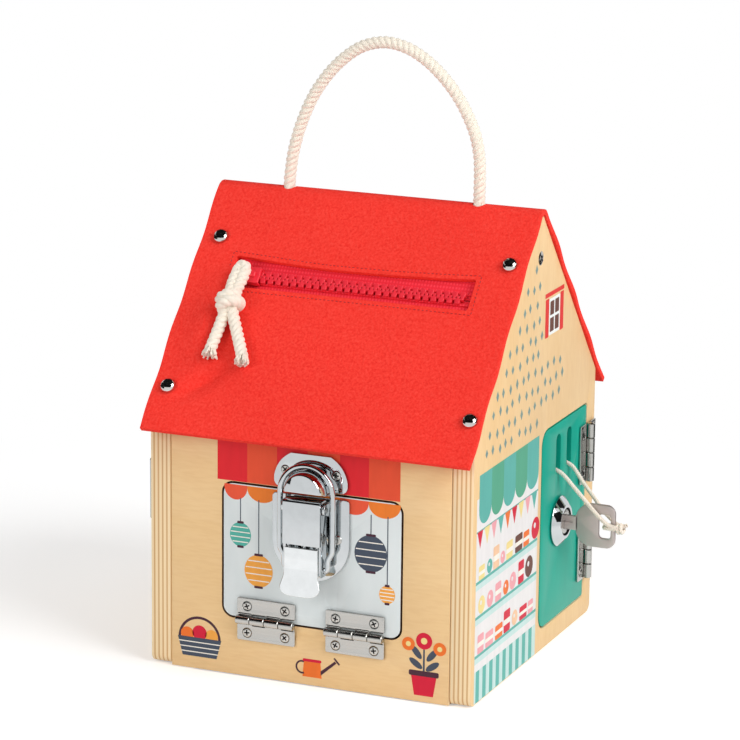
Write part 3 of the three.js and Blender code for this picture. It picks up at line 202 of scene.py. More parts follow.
@dataclass(frozen=True)
class Plywood(Finish):
    """Clear lacquered birch plywood: quiet face grain, and plies that show as stripes on the edges.

    The outer face's distance from the middle, the ply, the grain and the burnt reach are in millimetres.
    """

    title: str = "birch_ply_gable"
    ply_axis: int = 0
    face: float = 82.5
    ply: float = 1.1
    grain: Point = (16.667, 16.667, 111.11)
    plies: tuple[str, str, str] = ("#D3A672", "#EDCB9B", "#F6DDB3")
    burnt_reach: float = 0.0
    slot: str = "birch_plywood"

    def build(self) -> Material:
        """Makes the material."""
        material, tree, shader = begin(self.title,
                {"Roughness": 0.5, "Specular IOR Level": 0.3, "Coat Weight": 0.04, "Coat Roughness": 0.3})
        flow = coordinates(tree, self.grain)
        figure = put(tree, "TexNoise", {"Scale": 1.0, "Detail": 6.0, "Distortion": 0.6}, {0: flow})
        face = ramp(tree, figure.outputs[0], [(0.3, "#EEC891"), (0.5, "#F0CB96"), (0.72, "#F3D09D")])
        pores = put(tree, "TexNoise", {"Scale": 14.0, "Detail": 2.0}, {0: flow})
        fine = tinted(tree, face, pores, 0.09, "#D2AC80", 0.6)
        place = put(tree, "TexCoord")
        parts = put(tree, "SeparateXYZ", links={0: place.outputs["Object"]})
        away = put(tree, "Math", {"operation": "ABSOLUTE"}, {0: parts.outputs[self.ply_axis]})
        depth = put(tree, "Math", {"operation": "SUBTRACT", 0: self.face * MM}, {1: away.outputs[0]})
        turns = put(tree, "Math", {"operation": "MULTIPLY", 1: math.pi * each(self.ply)},
                {0: depth.outputs[0]})
        wave = put(tree, "Math", {"operation": "SINE"}, {0: turns.outputs[0]})
        level = put(tree, "Math", {"operation": "MULTIPLY_ADD", 1: 0.5, 2: 0.5}, {0: wave.outputs[0]})
        edge = ramp(tree, level.outputs[0], list(zip((0.05, 0.3, 0.6), self.plies)))
        if self.burnt_reach:
            middle = put(tree, "Math", {"operation": "ABSOLUTE"}, {0: parts.outputs[0]})
            inside = put(tree, "Math", {"operation": "LESS_THAN", 1: self.burnt_reach * MM},
                    {0: middle.outputs[0]})
            burnt = ramp(tree, level.outputs[0], [(0.05, "#4B2B1D"), (0.6, "#7A5138")])
            edge = put(tree, "Mix", {"data_type": "RGBA"},
                    {0: inside.outputs[0], 6: edge, 7: burnt}).outputs[2]
        normal = put(tree, "SeparateXYZ", links={0: place.outputs["Normal"]})
        across = put(tree, "Math", {"operation": "ABSOLUTE"}, {0: normal.outputs[self.ply_axis]})
        is_face = put(tree, "Math", {"operation": "GREATER_THAN", 1: 0.6}, {0: across.outputs[0]})
        color = put(tree, "Mix", {"data_type": "RGBA"}, {0: is_face.outputs[0], 6: edge, 7: fine})
        tree.links.new(color.outputs[2], shader.inputs["Base Color"])
        bump(tree, shader, pores.outputs[0], 0.04, 0.6)
        return material


@dataclass(frozen=True)
class Paint(Finish):
    """Sprayed paint on wood: even colour with a faint orange-peel surface."""

    title: str = "teal_paint"
    color: str = "#07A890"
    shade: str = "#05A18A"
    roughness: float = 0.38
    rim: str = ""
    slot: str = "teal_painted_wood"

    def build(self) -> Material:
        """Makes the material."""
        material, tree, shader = begin(self.title, {"Roughness": self.roughness, "Specular IOR Level": 0.22})
        flow = coordinates(tree, (11.111, 11.111, 33.333))
        cloud = put(tree, "TexNoise", {"Scale": 1.0, "Detail": 3.0}, {0: flow})
        color = ramp(tree, cloud.outputs[0], [(0.35, self.shade), (0.65, self.color)])
        if self.rim:
            normal = put(tree, "SeparateXYZ", links={0: put(tree, "TexCoord").outputs["Normal"]})
            across = put(tree, "Math", {"operation": "ABSOLUTE"}, {0: normal.outputs[1]})
            is_face = put(tree, "Math", {"operation": "GREATER_THAN", 1: 0.75}, {0: across.outputs[0]})
            burnt = ramp(tree, cloud.outputs[0], [(0.3, self.rim), (0.7, "#6B4430")])
            mixed = put(tree, "Mix", {"data_type": "RGBA"}, {0: is_face.outputs[0], 6: burnt, 7: color})
            color = mixed.outputs[2]
        tree.links.new(color, shader.inputs["Base Color"])
        peel = put(tree, "TexNoise", {"Scale": each(1.1111), "Detail": 1.0},
                {0: put(tree, "TexCoord").outputs["Object"]})
        bump(tree, shader, peel.outputs[0], 0.02, 0.5)
        return material


@dataclass(frozen=True)
class Ink(Finish):
    """Printing ink on wood: a flat colour that lets a little of the grain through."""

    title: str = "ink"
    color: str = "#E3262F"
    slot: str = "birch_plywood"

    def build(self) -> Material:
        """Makes the material."""
        material, tree, shader = begin(self.title, {"Roughness": 0.5, "Specular IOR Level": 0.25})
        flow = coordinates(tree, (3.3333, 3.3333, 16.667))
        grain = put(tree, "TexNoise", {"Scale": 1.0, "Detail": 4.0}, {0: flow})
        tone = tinted(tree, self.color, grain, 0.1, "#B8B8B8")
        tree.links.new(tone, shader.inputs["Base Color"])
        bump(tree, shader, grain.outputs[0], 0.01, 0.4)
        return material


@dataclass(frozen=True)
class PressedFelt(Finish):
    """Pressed wool felt: matted fibres, slightly mottled red, with a soft sheen at grazing angles."""

    title: str = "pressed_red_felt"
    slot: str = "red_felt"

    def build(self) -> Material:
        """Makes the material."""
        material, tree, shader = begin(self.title,
                {"Roughness": 0.95, "Specular IOR Level": 0.2, "Sheen Weight": 0.08, "Sheen Roughness": 0.4,
                "Sheen Tint": linear("#FF5A48")})
        place = put(tree, "TexCoord").outputs["Object"]
        mottle = put(tree, "TexNoise", {"Scale": each(1.1765), "Detail": 5.0, "Roughness": 0.65}, {0: place})
        cloud = put(tree, "TexNoise", {"Scale": each(45.455), "Detail": 3.0}, {0: place})
        base = ramp(tree, mottle.outputs[0], [(0.3, "#F02C22"), (0.5, "#FB3C31"), (0.7, "#FF4C40")])
        tree.links.new(tinted(tree, base, cloud, 0.2, "#E9DADA"), shader.inputs["Base Color"])
        fibres = put(tree, "TexNoise", {"Scale": each(1.1111), "Detail": 6.0, "Distortion": 1.5}, {0: place})
        both = put(tree, "Math", {"operation": "MULTIPLY_ADD", 1: 0.6},
                {0: fibres.outputs[0], 2: mottle.outputs[0]})
        bump(tree, shader, both.outputs[0], 0.4, 0.9)
        return material


@dataclass(frozen=True)
class Metal(Finish):
    """Plated metal, from mirror chrome to satin nickel with fine scratches one way."""

    title: str = "bright_chrome_plate"
    color: str = "#C9CDCF"
    roughness: float = 0.02
    scratches: Point = (5.0, 5.0, 5.0)
    depth: float = 0.0
    slot: str = "satin_steel"

    def build(self) -> Material:
        """Makes the material."""
        material, tree, shader = begin(self.title, {"Metallic": 1.0})
        flow = coordinates(tree, self.scratches)
        lines = put(tree, "TexNoise", {"Scale": 1.0, "Detail": 5.0}, {0: flow})
        tree.links.new(tinted(tree, self.color, lines, 0.12, "#C4C4C4"), shader.inputs["Base Color"])
        rough = put(tree, "MapRange", {"To Min": self.roughness, "To Max": self.roughness * 1.6 + 0.02},
                {0: lines.outputs[0]})
        tree.links.new(rough.outputs[0], shader.inputs["Roughness"])
        if self.depth:
            bump(tree, shader, lines.outputs[0], self.depth, 0.5)
        return material


@dataclass(frozen=True)
class Plastic(Finish):
    """Moulded nylon of the zip, satin, faintly uneven."""

    title: str = "red_zip_nylon"
    color: str = "#F2303F"
    shade: str = "#E42637"
    slot: str = "red_zip_plastic"

    def build(self) -> Material:
        """Makes the material."""
        material, tree, shader = begin(self.title, {"Roughness": 0.36})
        place = put(tree, "TexCoord").outputs["Object"]
        cloud = put(tree, "TexNoise", {"Scale": each(2.0), "Detail": 2.0}, {0: place})
        color = ramp(tree, cloud.outputs[0], [(0.3, self.shade), (0.7, self.color)])
        tree.links.new(color, shader.inputs["Base Color"])
        bump(tree, shader, cloud.outputs[0], 0.02, 0.4)
        return material


@dataclass(frozen=True)
class Tape(Finish):
    """Woven zip tape: fine ribs along and across, drawn at 0.8 mm so that they show."""

    title: str = "red_zip_tape"
    rib: float = 0.8
    slot: str = "red_zip_plastic"

    def build(self) -> Material:
        """Makes the material."""
        material, tree, shader = begin(self.title, {"Roughness": 0.85})
        place = put(tree, "TexCoord").outputs["Object"]
        scale = each(self.rib) / math.tau
        warp = put(tree, "TexWave", {"bands_direction": "X", "Scale": scale}, {0: place})
        weft = put(tree, "TexWave", {"bands_direction": "Z", "Scale": scale}, {0: place})
        weave = put(tree, "Math", {"operation": "MULTIPLY"}, {0: warp.outputs[1], 1: weft.outputs[1]})
        color = ramp(tree, weave.outputs[0], [(0.0, "#EC2336"), (0.8, "#FF4051")])
        tree.links.new(color, shader.inputs["Base Color"])
        bump(tree, shader, weave.outputs[0], 0.15, 0.7)
        return material


@dataclass(frozen=True)
class Cotton(Finish):
    """Natural twisted cotton: cream yarn with fine fibres along the strands, and painted shade in the grooves
    between strands.
    """

    title: str = "natural_cotton"
    light: str = "#FAF0E0"
    dark: str = "#E3CDAF"
    slot: str = "cotton_rope"

    def build(self) -> Material:
        """Makes the material."""
        material, tree, shader = begin(self.title, {"Roughness": 0.9, "Sheen Weight": 0.25})
        place = put(tree, "TexCoord").outputs["Object"]
        yarn = put(tree, "TexNoise", {"Scale": each(0.90909), "Detail": 6.0, "Distortion": 1.2}, {0: place})
        crest = put(tree, "Attribute", {"attribute_name": "crest"})
        # Low crest marks pull the colour to the dark tint: painted shade in the grooves, mixed with the
        # yarn's own tone.
        level = put(tree, "Math", {"operation": "MULTIPLY_ADD", 1: 0.5},
                {0: yarn.outputs[0], 2: crest.outputs["Fac"]})
        color = ramp(tree, level.outputs[0], [(0.2, self.dark), (0.62, self.light)])
        tree.links.new(color, shader.inputs["Base Color"])
        bump(tree, shader, yarn.outputs[0], 0.5, 0.9)
        return material


BIRCH_GABLE = Plywood()
BIRCH_PANEL = Plywood("birch_panel", ply_axis=1, face=83.0, ply=1.5, grain=(111.11, 16.667, 16.667))
BIRCH_FRONT = Plywood("birch_front", ply_axis=1, face=83.0, ply=1.5, grain=(111.11, 16.667, 16.667),
        burnt_reach=60.0)
BIRCH_FLOOR = Plywood("birch_floor", ply_axis=2, face=12.0, ply=1.5, grain=(111.11, 16.667, 16.667))
BIRCH_BATTEN = Plywood("birch_batten", ply_axis=2, face=190.0, ply=3.0, grain=(111.11, 16.667, 16.667))
TEAL = Paint()
WHITE = Paint("pale_door_paint", "#E0E6E6", "#DAE1E1", 0.4, "#4B2B1D", "white_printed_wood")
FELT = PressedFelt()
CHROME = Metal(slot="polished_chrome")
# A lighter copy of the latch's chrome for the thumb tab: painted light on the tab.
TAB_CHROME = Metal("chrome_tab_painted_lighter", "#ECEFF0", 0.06, slot="polished_chrome")
NICKEL = Metal("satin_nickel", "#BCBBB7", 0.16, (25.0, 0.66667, 0.66667), 0.01)
STUD_NICKEL = Metal("bright_nickel", "#CFCDCA", 0.05)
SCREW_NICKEL = Metal("bright_screw_nickel", "#C6C4BF", 0.16)
# Near-black material for screw cross recesses and the groove round the lock's plug: painted shade in
# recesses.
RECESS_SHADE = Paint("painted_recess_shade", "#1B1A1A", "#131212", 0.6)
KEY_STEEL = Metal("tumbled_key_steel", "#CDC3C0", 0.42, (1.6667, 1.6667, 1.6667), 0.02)
ZIP_NYLON = Plastic()
ZIP_TAPE = Tape()
THREAD = Plastic("polyester_thread", "#C01C22", "#A51318", "red_felt")
ROPE = Cotton()
STRING = Cotton("cotton_string", "#FDF1E3", "#EEDCC8")


def rest_selection() -> None:
    """Leaves edit mode and deselects everything."""
    if bpy.context.object and bpy.context.object.mode != "OBJECT":
        bpy.ops.object.mode_set(mode="OBJECT")
    bpy.ops.object.select_all(action="DESELECT")


def chosen(piece: Piece) -> Piece:
    """Makes one object the only selected and the active one."""
    rest_selection()
    piece.select_set(True)
    bpy.context.view_layer.objects.active = piece
    return piece


def extrude(x: float, y: float, z: float) -> None:
    """Extrudes what is selected in edit mode by a move in millimetres."""
    bpy.ops.mesh.extrude_region_move(TRANSFORM_OT_translate={"value": (x * MM, y * MM, z * MM)})


def moved(x: float, y: float, z: float) -> Matrix:
    """Gives the matrix of a move in millimetres."""
    return Matrix.Translation(Vector((x, y, z)) * MM)


def applied(piece: Piece, kind: str, **settings) -> Piece:
    """Adds a modifier, sets it and applies it."""
    chosen(piece)
    modifier = piece.modifiers.new(kind.lower(), kind)
    for key, value in settings.items():
        setattr(modifier, key, value)
    bpy.ops.object.modifier_apply(modifier=modifier.name)
    return piece


def bevelled(piece: Piece, edge: float, segments: int = 3, limit: float = 60.0) -> Piece:
    """Rounds a piece's edges that turn by more than a limit in degrees, by a radius in millimetres."""
    return applied(piece, "BEVEL", width=edge * MM, segments=segments, limit_method="ANGLE",
            angle_limit=math.radians(limit), use_clamp_overlap=True)


def turn_outward() -> None:
    """Turns all faces of the piece in edit mode outward, and leaves edit mode."""
    bpy.ops.mesh.select_all(action="SELECT")
    bpy.ops.mesh.normals_make_consistent(inside=False)
    bpy.ops.object.mode_set(mode="OBJECT")


def drawn(name: str, lines: Iterable[Sequence[Point]], closed: bool = False, **settings) -> Piece:
    """Draws a curve of straight stretches.

    Args:
        name: The curve's name.
        lines: The points of each line, in metres.
        closed: Whether each line ends where it starts.
        **settings: The curve's properties.

    Returns:
        The curve's object.
    """
    curve = bpy.data.curves.new(name, "CURVE")
    for key, value in settings.items():
        setattr(curve, key, value)
    for line in lines:
        spline = curve.splines.new("POLY")
        spline.points.add(len(line) - 1)
        spline.use_cyclic_u = closed
        for point, place in zip(spline.points, line):
            point.co = (*place, 1.0)
    piece = bpy.data.objects.new(name, curve)
    bpy.context.collection.objects.link(piece)
    return piece


def smooth(piece: Piece, degrees: float = 35.0) -> Piece:
    """Shades a piece smooth up to an angle between faces."""
    chosen(piece)
    bpy.ops.object.shade_smooth_by_angle(angle=math.radians(degrees), keep_sharp_edges=False)
    return piece


def settled(name: str) -> Piece:
    """Names the active object and applies its place, turn and size to its mesh."""
    bpy.context.object.name = name
    bpy.ops.object.transform_apply(location=True, rotation=True, scale=True)
    return bpy.context.object


def placed(piece: Piece, matrix: Matrix) -> Piece:
    """Moves a piece's mesh by a matrix, with its object left at the origin."""
    piece.data.transform(matrix)
    piece.data.update()
    return piece


def turned(name: str, rings: Sequence[Flat], matrix: Matrix, steps: int = 32, degrees: float = 35.0) -> Piece:
    """Turns a solid from rings along its axis: a disc is extruded and scaled ring by ring.

    Args:
        name: The piece's name.
        rings: Radius and height of each ring, in millimetres, from one end to the other.
        matrix: Takes the axis, which is z, to its place in the house.
        steps: The facets round the axis.
        degrees: The largest angle that is shaded smooth.

    Returns:
        The piece.
    """
    rest_selection()
    radius, height = rings[0]
    bpy.ops.mesh.primitive_circle_add(vertices=steps, radius=radius * MM, fill_type="NGON",
            location=(0, 0, height * MM))
    piece = bpy.context.object
    piece.name = name
    bpy.ops.object.mode_set(mode="EDIT")
    for next_radius, next_height in rings[1:]:
        extrude(0, 0, next_height - height)
        share = next_radius / radius
        bpy.ops.transform.resize(value=(share, share, 1))
        radius, height = next_radius, next_height
    turn_outward()
    chosen(piece)
    bpy.ops.object.transform_apply(location=True, rotation=True, scale=True)
    smooth(piece, degrees)
    return placed(piece, matrix)


def slab(name: str, low: Point, high: Point, edge: float = 0.0, segments: int = 2) -> Piece:
    """Makes a box between two corners, with rounded edges."""
    rest_selection()
    middle = [(a + b) / 2 * MM for a, b in zip(low, high)]
    bpy.ops.mesh.primitive_cube_add(size=1, location=middle)
    bpy.context.object.scale = [(b - a) * MM for a, b in zip(low, high)]
    piece = settled(name)
    if edge:
        applied(piece, "BEVEL", width=edge * MM, segments=segments)
    return smooth(piece)


def copied(piece: Piece, name: str, matrix: Matrix) -> Piece:
    """Copies a piece with its own mesh and moves the copy by a matrix."""
    twin = piece.copy()
    twin.data = piece.data.copy()
    twin.name = name
    bpy.context.collection.objects.link(twin)
    return placed(twin, matrix)


def cut_by(piece: Piece, tools: Iterable[Piece]) -> Piece:
    """Cuts tools out of a piece and removes the tools."""
    for tool in tools:
        applied(piece, "BOOLEAN", operation="DIFFERENCE", object=tool, solver="EXACT")
        bpy.data.objects.remove(tool, do_unlink=True)
    return piece


def merged(name: str, parts: Sequence[Piece]) -> Piece:
    """Joins several objects into one with the given name."""
    rest_selection()
    for part in parts:
        part.select_set(True)
    bpy.context.view_layer.objects.active = parts[0]
    bpy.ops.object.join()
    parts[0].name = name
    return parts[0]


def softened(node: str, edge: float, segments: int = 2, limit: float = 32.0) -> Piece:
    """Copies a CAD node, joins its facets and rounds its sharp edges.

    Args:
        node: The CAD node that the copy stands for.
        edge: The radius of the rounding, in millimetres.
        segments: The steps of the rounding.
        limit: The angle between faces, in degrees, past which an edge is rounded.

    Returns:
        The piece.
    """
    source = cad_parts[node]
    piece = source.copy()
    piece.data = source.data.copy()
    piece.name = f"soft_{node}"
    piece.parent = None
    piece.matrix_world = Matrix.Identity(4)
    bpy.context.collection.objects.link(piece)
    chosen(piece)
    bpy.ops.object.mode_set(mode="EDIT")
    bpy.ops.mesh.select_all(action="SELECT")
    bpy.ops.mesh.remove_doubles(threshold=0.00001)
    bpy.ops.mesh.dissolve_limited(angle_limit=math.radians(1.5))
    bpy.ops.object.mode_set(mode="OBJECT")
    bevelled(piece, edge, segments, limit)
    piece.data.materials.clear()
    return smooth(piece)


def dressed(piece: Piece, finish: Finish, body: Body, *nodes: str) -> Piece:
    """Gives a finished piece its material and its body, and hides the CAD nodes that it stands for.

    Args:
        piece: The piece.
        finish: Its finish, whose material the piece gets.
        body: The body that it rides on.
        *nodes: The CAD nodes that it replaces.

    Returns:
        The piece.
    """
    piece.data.materials.clear()
    piece.data.materials.append(finish.material())
    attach(piece, body.value)
    if nodes:
        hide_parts(*nodes)
    LOG.info("made %s on %s", piece.name, body.value)
    return piece


def refined(node: str, finish: Finish, body: Body, edge: float, segments: int = 2,
        limit: float = 62.0) -> Piece:
    """Dresses a rounded copy of a CAD node to stand for that node."""
    return dressed(softened(node, edge, segments, limit), finish, body, node)


def local_frame(across: Point, up: Point, out: Point, origin: Point) -> Matrix:
    """Makes the matrix of a wall's own frame, with its origin in millimetres."""
    matrix = Matrix.Identity(4)
    for column, axis in enumerate((across, up, out)):
        for row in range(3):
            matrix[row][column] = axis[row]
    matrix.translation = Vector(origin) * MM
    return matrix


@dataclass(frozen=True)
class House:
    """The carcase's main sizes, in millimetres."""

    half_width: float = 82.5
    half_depth: float = 83.0
    shoulder: float = 126.2
    ridge: float = 221.4
    eave_overhang: float = 7.8
    verge: float = 1.5
    felt_low: float = 0.3
    felt_high: float = 2.9
    felt_peak: float = 222.2
    lock: Flat = (33.3, 60.3)
    slider: Flat = (-51.5, 86.7)

    @property
    def pitch(self) -> float:
        """The roof's slope, in radians."""
        return math.atan2(self.ridge - self.shoulder, self.half_depth)

    @property
    def eave(self) -> Flat:
        """Depth and height of the eave's lower corner."""
        out = self.half_depth + self.eave_overhang
        return out, self.shoulder - self.eave_overhang * math.tan(self.pitch)


HOUSE = House()
SINE = math.sin(HOUSE.pitch)
COSINE = math.cos(HOUSE.pitch)
HERE = Matrix.Identity(4)
FRONT = local_frame((1, 0, 0), (0, 0, 1), (0, -1, 0), (0, -HOUSE.half_depth, 0))
RIGHT = local_frame((0, 1, 0), (0, 0, 1), (1, 0, 0), (HOUSE.half_width, 0, 0))
LEFT = local_frame((0, -1, 0), (0, 0, 1), (-1, 0, 0), (-HOUSE.half_width, 0, 0))
FRONT_SLOPE = local_frame((1, 0, 0), (0, COSINE, SINE), (0, -SINE, COSINE),
        (0, -HOUSE.eave[0], HOUSE.eave[1]))
BACK_SLOPE = local_frame((-1, 0, 0), (0, -COSINE, SINE), (0, SINE, COSINE), (0, HOUSE.eave[0], HOUSE.eave[1]))
EDGEWISE = local_frame((0, 0, 1), (0, 1, 0), (-1, 0, 0), (0, 0, 0))
ALONG_X = Matrix.Rotation(math.pi / 2, 4, "Y")


def at(matrix: Matrix, across: float, up: float, out: float = 0.0, turn: float = 0.0) -> Matrix:
    """Gives the matrix of a place in a wall's frame."""
    return matrix @ moved(across, up, out) @ Matrix.Rotation(turn, 4, "Z")


@dataclass(frozen=True)
class Shot:
    """The camera that stands where the photographer's stood, fitted to the carcase's corners."""

    azimuth: float = 22.7296
    elevation: float = 14.1166
    roll: float = 0.61945
    focal_pixels: float = 3596.034
    picture: float = 740.0
    aim: Point = (-4.0468, 24.4664, 110.0)
    distance: float = 1754.693
    sensor: float = 36.0

    def build(self) -> Piece:
        """Makes the camera and the scene's only view."""
        side = math.radians(self.azimuth)
        rise = math.radians(self.elevation)
        tilt = math.radians(self.roll)
        back = Vector((math.sin(side) * math.cos(rise), -math.cos(side) * math.cos(rise), math.sin(rise)))
        right = Vector((math.cos(side), math.sin(side), 0))
        up = back.cross(right)
        right_rolled = right * math.cos(tilt) + up * math.sin(tilt)
        up_rolled = up * math.cos(tilt) - right * math.sin(tilt)
        across, rise_aim, height = self.aim
        target = Vector((0, 0, height)) + right_rolled * across + up_rolled * rise_aim
        eye = (target + back * self.distance) * MM
        rest_selection()
        bpy.ops.object.camera_add(location=eye)
        camera = bpy.context.object
        camera.name = "photo_camera"
        camera.data.sensor_width = self.sensor
        camera.data.lens = self.focal_pixels / self.picture * self.sensor
        camera.data.clip_start = 0.1
        camera.data.clip_end = 20.0
        turn = Matrix((right_rolled, up_rolled, back)).transposed()
        camera.rotation_mode = "QUATERNION"
        camera.rotation_quaternion = turn.to_quaternion()
        bpy.context.scene.camera = camera
        return camera


def smooth_route(points: Sequence[Point], steps: int) -> list[Vector]:
    """Runs a smooth line through points.

    Args:
        points: The points, in millimetres.
        steps: How many pieces each stretch between two points gets.

    Returns:
        The line's points, in metres, evenly spaced.
    """
    given = [Vector(p) for p in points]
    ends = [given[0] * 2 - given[1], *given, given[-1] * 2 - given[-2]]
    line = []
    for k in range(1, len(ends) - 2):
        before, start, end, after = ends[k - 1:k + 3]
        for step in range(steps):
            t = step / steps
            line.append(0.5 * (2 * start + (end - before) * t
                    + (2 * before - 5 * start + 4 * end - after) * t * t
                    + (3 * start - before - 3 * end + after) * t ** 3))
    line.append(given[-1])
    return evened([p * MM for p in line], (len(given) - 1) * steps)


def evened(line: Sequence[Vector], count: int) -> list[Vector]:
    """Spaces a line's points evenly.

    Args:
        line: The line's points.
        count: The number of equal stretches.

    Returns:
        The evenly spaced points.
    """
    reach = [0.0]
    for start, end in zip(line, line[1:]):
        reach.append(reach[-1] + (end - start).length)
    made = []
    k = 0
    for step in range(count + 1):
        goal = reach[-1] * step / count
        while k < len(line) - 2 and reach[k + 1] < goal:
            k += 1
        span = reach[k + 1] - reach[k]
        share = (goal - reach[k]) / span if span else 0.0
        made.append(line[k].lerp(line[k + 1], min(max(share, 0.0), 1.0)))
    return made


def route_length(line: Sequence[Vector]) -> float:
    """Gives a line's length."""
    return sum((end - start).length for start, end in zip(line, line[1:]))


@dataclass(frozen=True)
class Cordage:
    """A twisted cord: strands laid round each other, in millimetres."""

    radius: float = 3.0
    strands: int = 3
    lay: float = 9.0
    facets: int = 14
    steps_per_lay: int = 18
    strand_share: float = 0.7

    def build(self, name: str, line: Sequence[Vector]) -> Piece:
        """Screws the strands' circles up along z, then bends them along the line.

        Args:
            name: The cord's name.
            line: The centreline's points, in metres.

        Returns:
            The cord.
        """
        length = route_length(line)
        strand = self.radius * (self.strand_share if self.strands > 1 else 1.0)
        offset = self.radius - strand
        rings = []
        for k in range(self.strands):
            rest_selection()
            angle = math.tau * k / self.strands
            bpy.ops.mesh.primitive_circle_add(vertices=self.facets, radius=strand * MM, fill_type="NOTHING",
                    location=(offset * MM * math.cos(angle), offset * MM * math.sin(angle), 0))
            rings.append(settled("strand_ring"))
        cord = merged(name, rings)
        turns = length / (self.lay * MM)
        steps = max(8, math.ceil(turns * self.steps_per_lay))
        applied(cord, "SCREW", axis="Z", angle=math.tau * turns, screw_offset=length, iterations=1,
                steps=steps, render_steps=steps, use_smooth_shade=True)
        self.mark_crests(cord)
        rail = self.rail(name, line)
        applied(cord, "CURVE", object=rail, deform_axis="POS_Z")
        bpy.data.objects.remove(rail, do_unlink=True)
        chosen(cord)
        bpy.ops.object.mode_set(mode="EDIT")
        bpy.ops.mesh.select_mode(type="EDGE")
        bpy.ops.mesh.select_all(action="DESELECT")
        bpy.ops.mesh.select_non_manifold()
        bpy.ops.mesh.edge_face_add()
        turn_outward()
        return smooth(cord, 60.0)

    def mark_crests(self, cord: Piece) -> None:
        """Writes how near each point is to the cord's outside, for the painted shade in its grooves."""
        crest = cord.data.attributes.new("crest", "FLOAT", "POINT")
        for vertex, mark in zip(cord.data.vertices, crest.data):
            share = math.hypot(vertex.co.x, vertex.co.y) / (self.radius * MM)
            mark.value = min(max((share - 0.7) / 0.3, 0.0), 1.0)

    def rail(self, name: str, line: Sequence[Vector]) -> Piece:
        """Makes the curve that bends the cord."""
        return drawn(f"{name}_rail", [line], dimensions="3D", twist_mode="MINIMUM")


ROPE_MAKE = Cordage()
STRING_MAKE = Cordage(1.1, 3, 3.6, 8, 12, 0.72)
YARN_MAKE = Cordage(0.48, 1, 4.0, 6, 4)


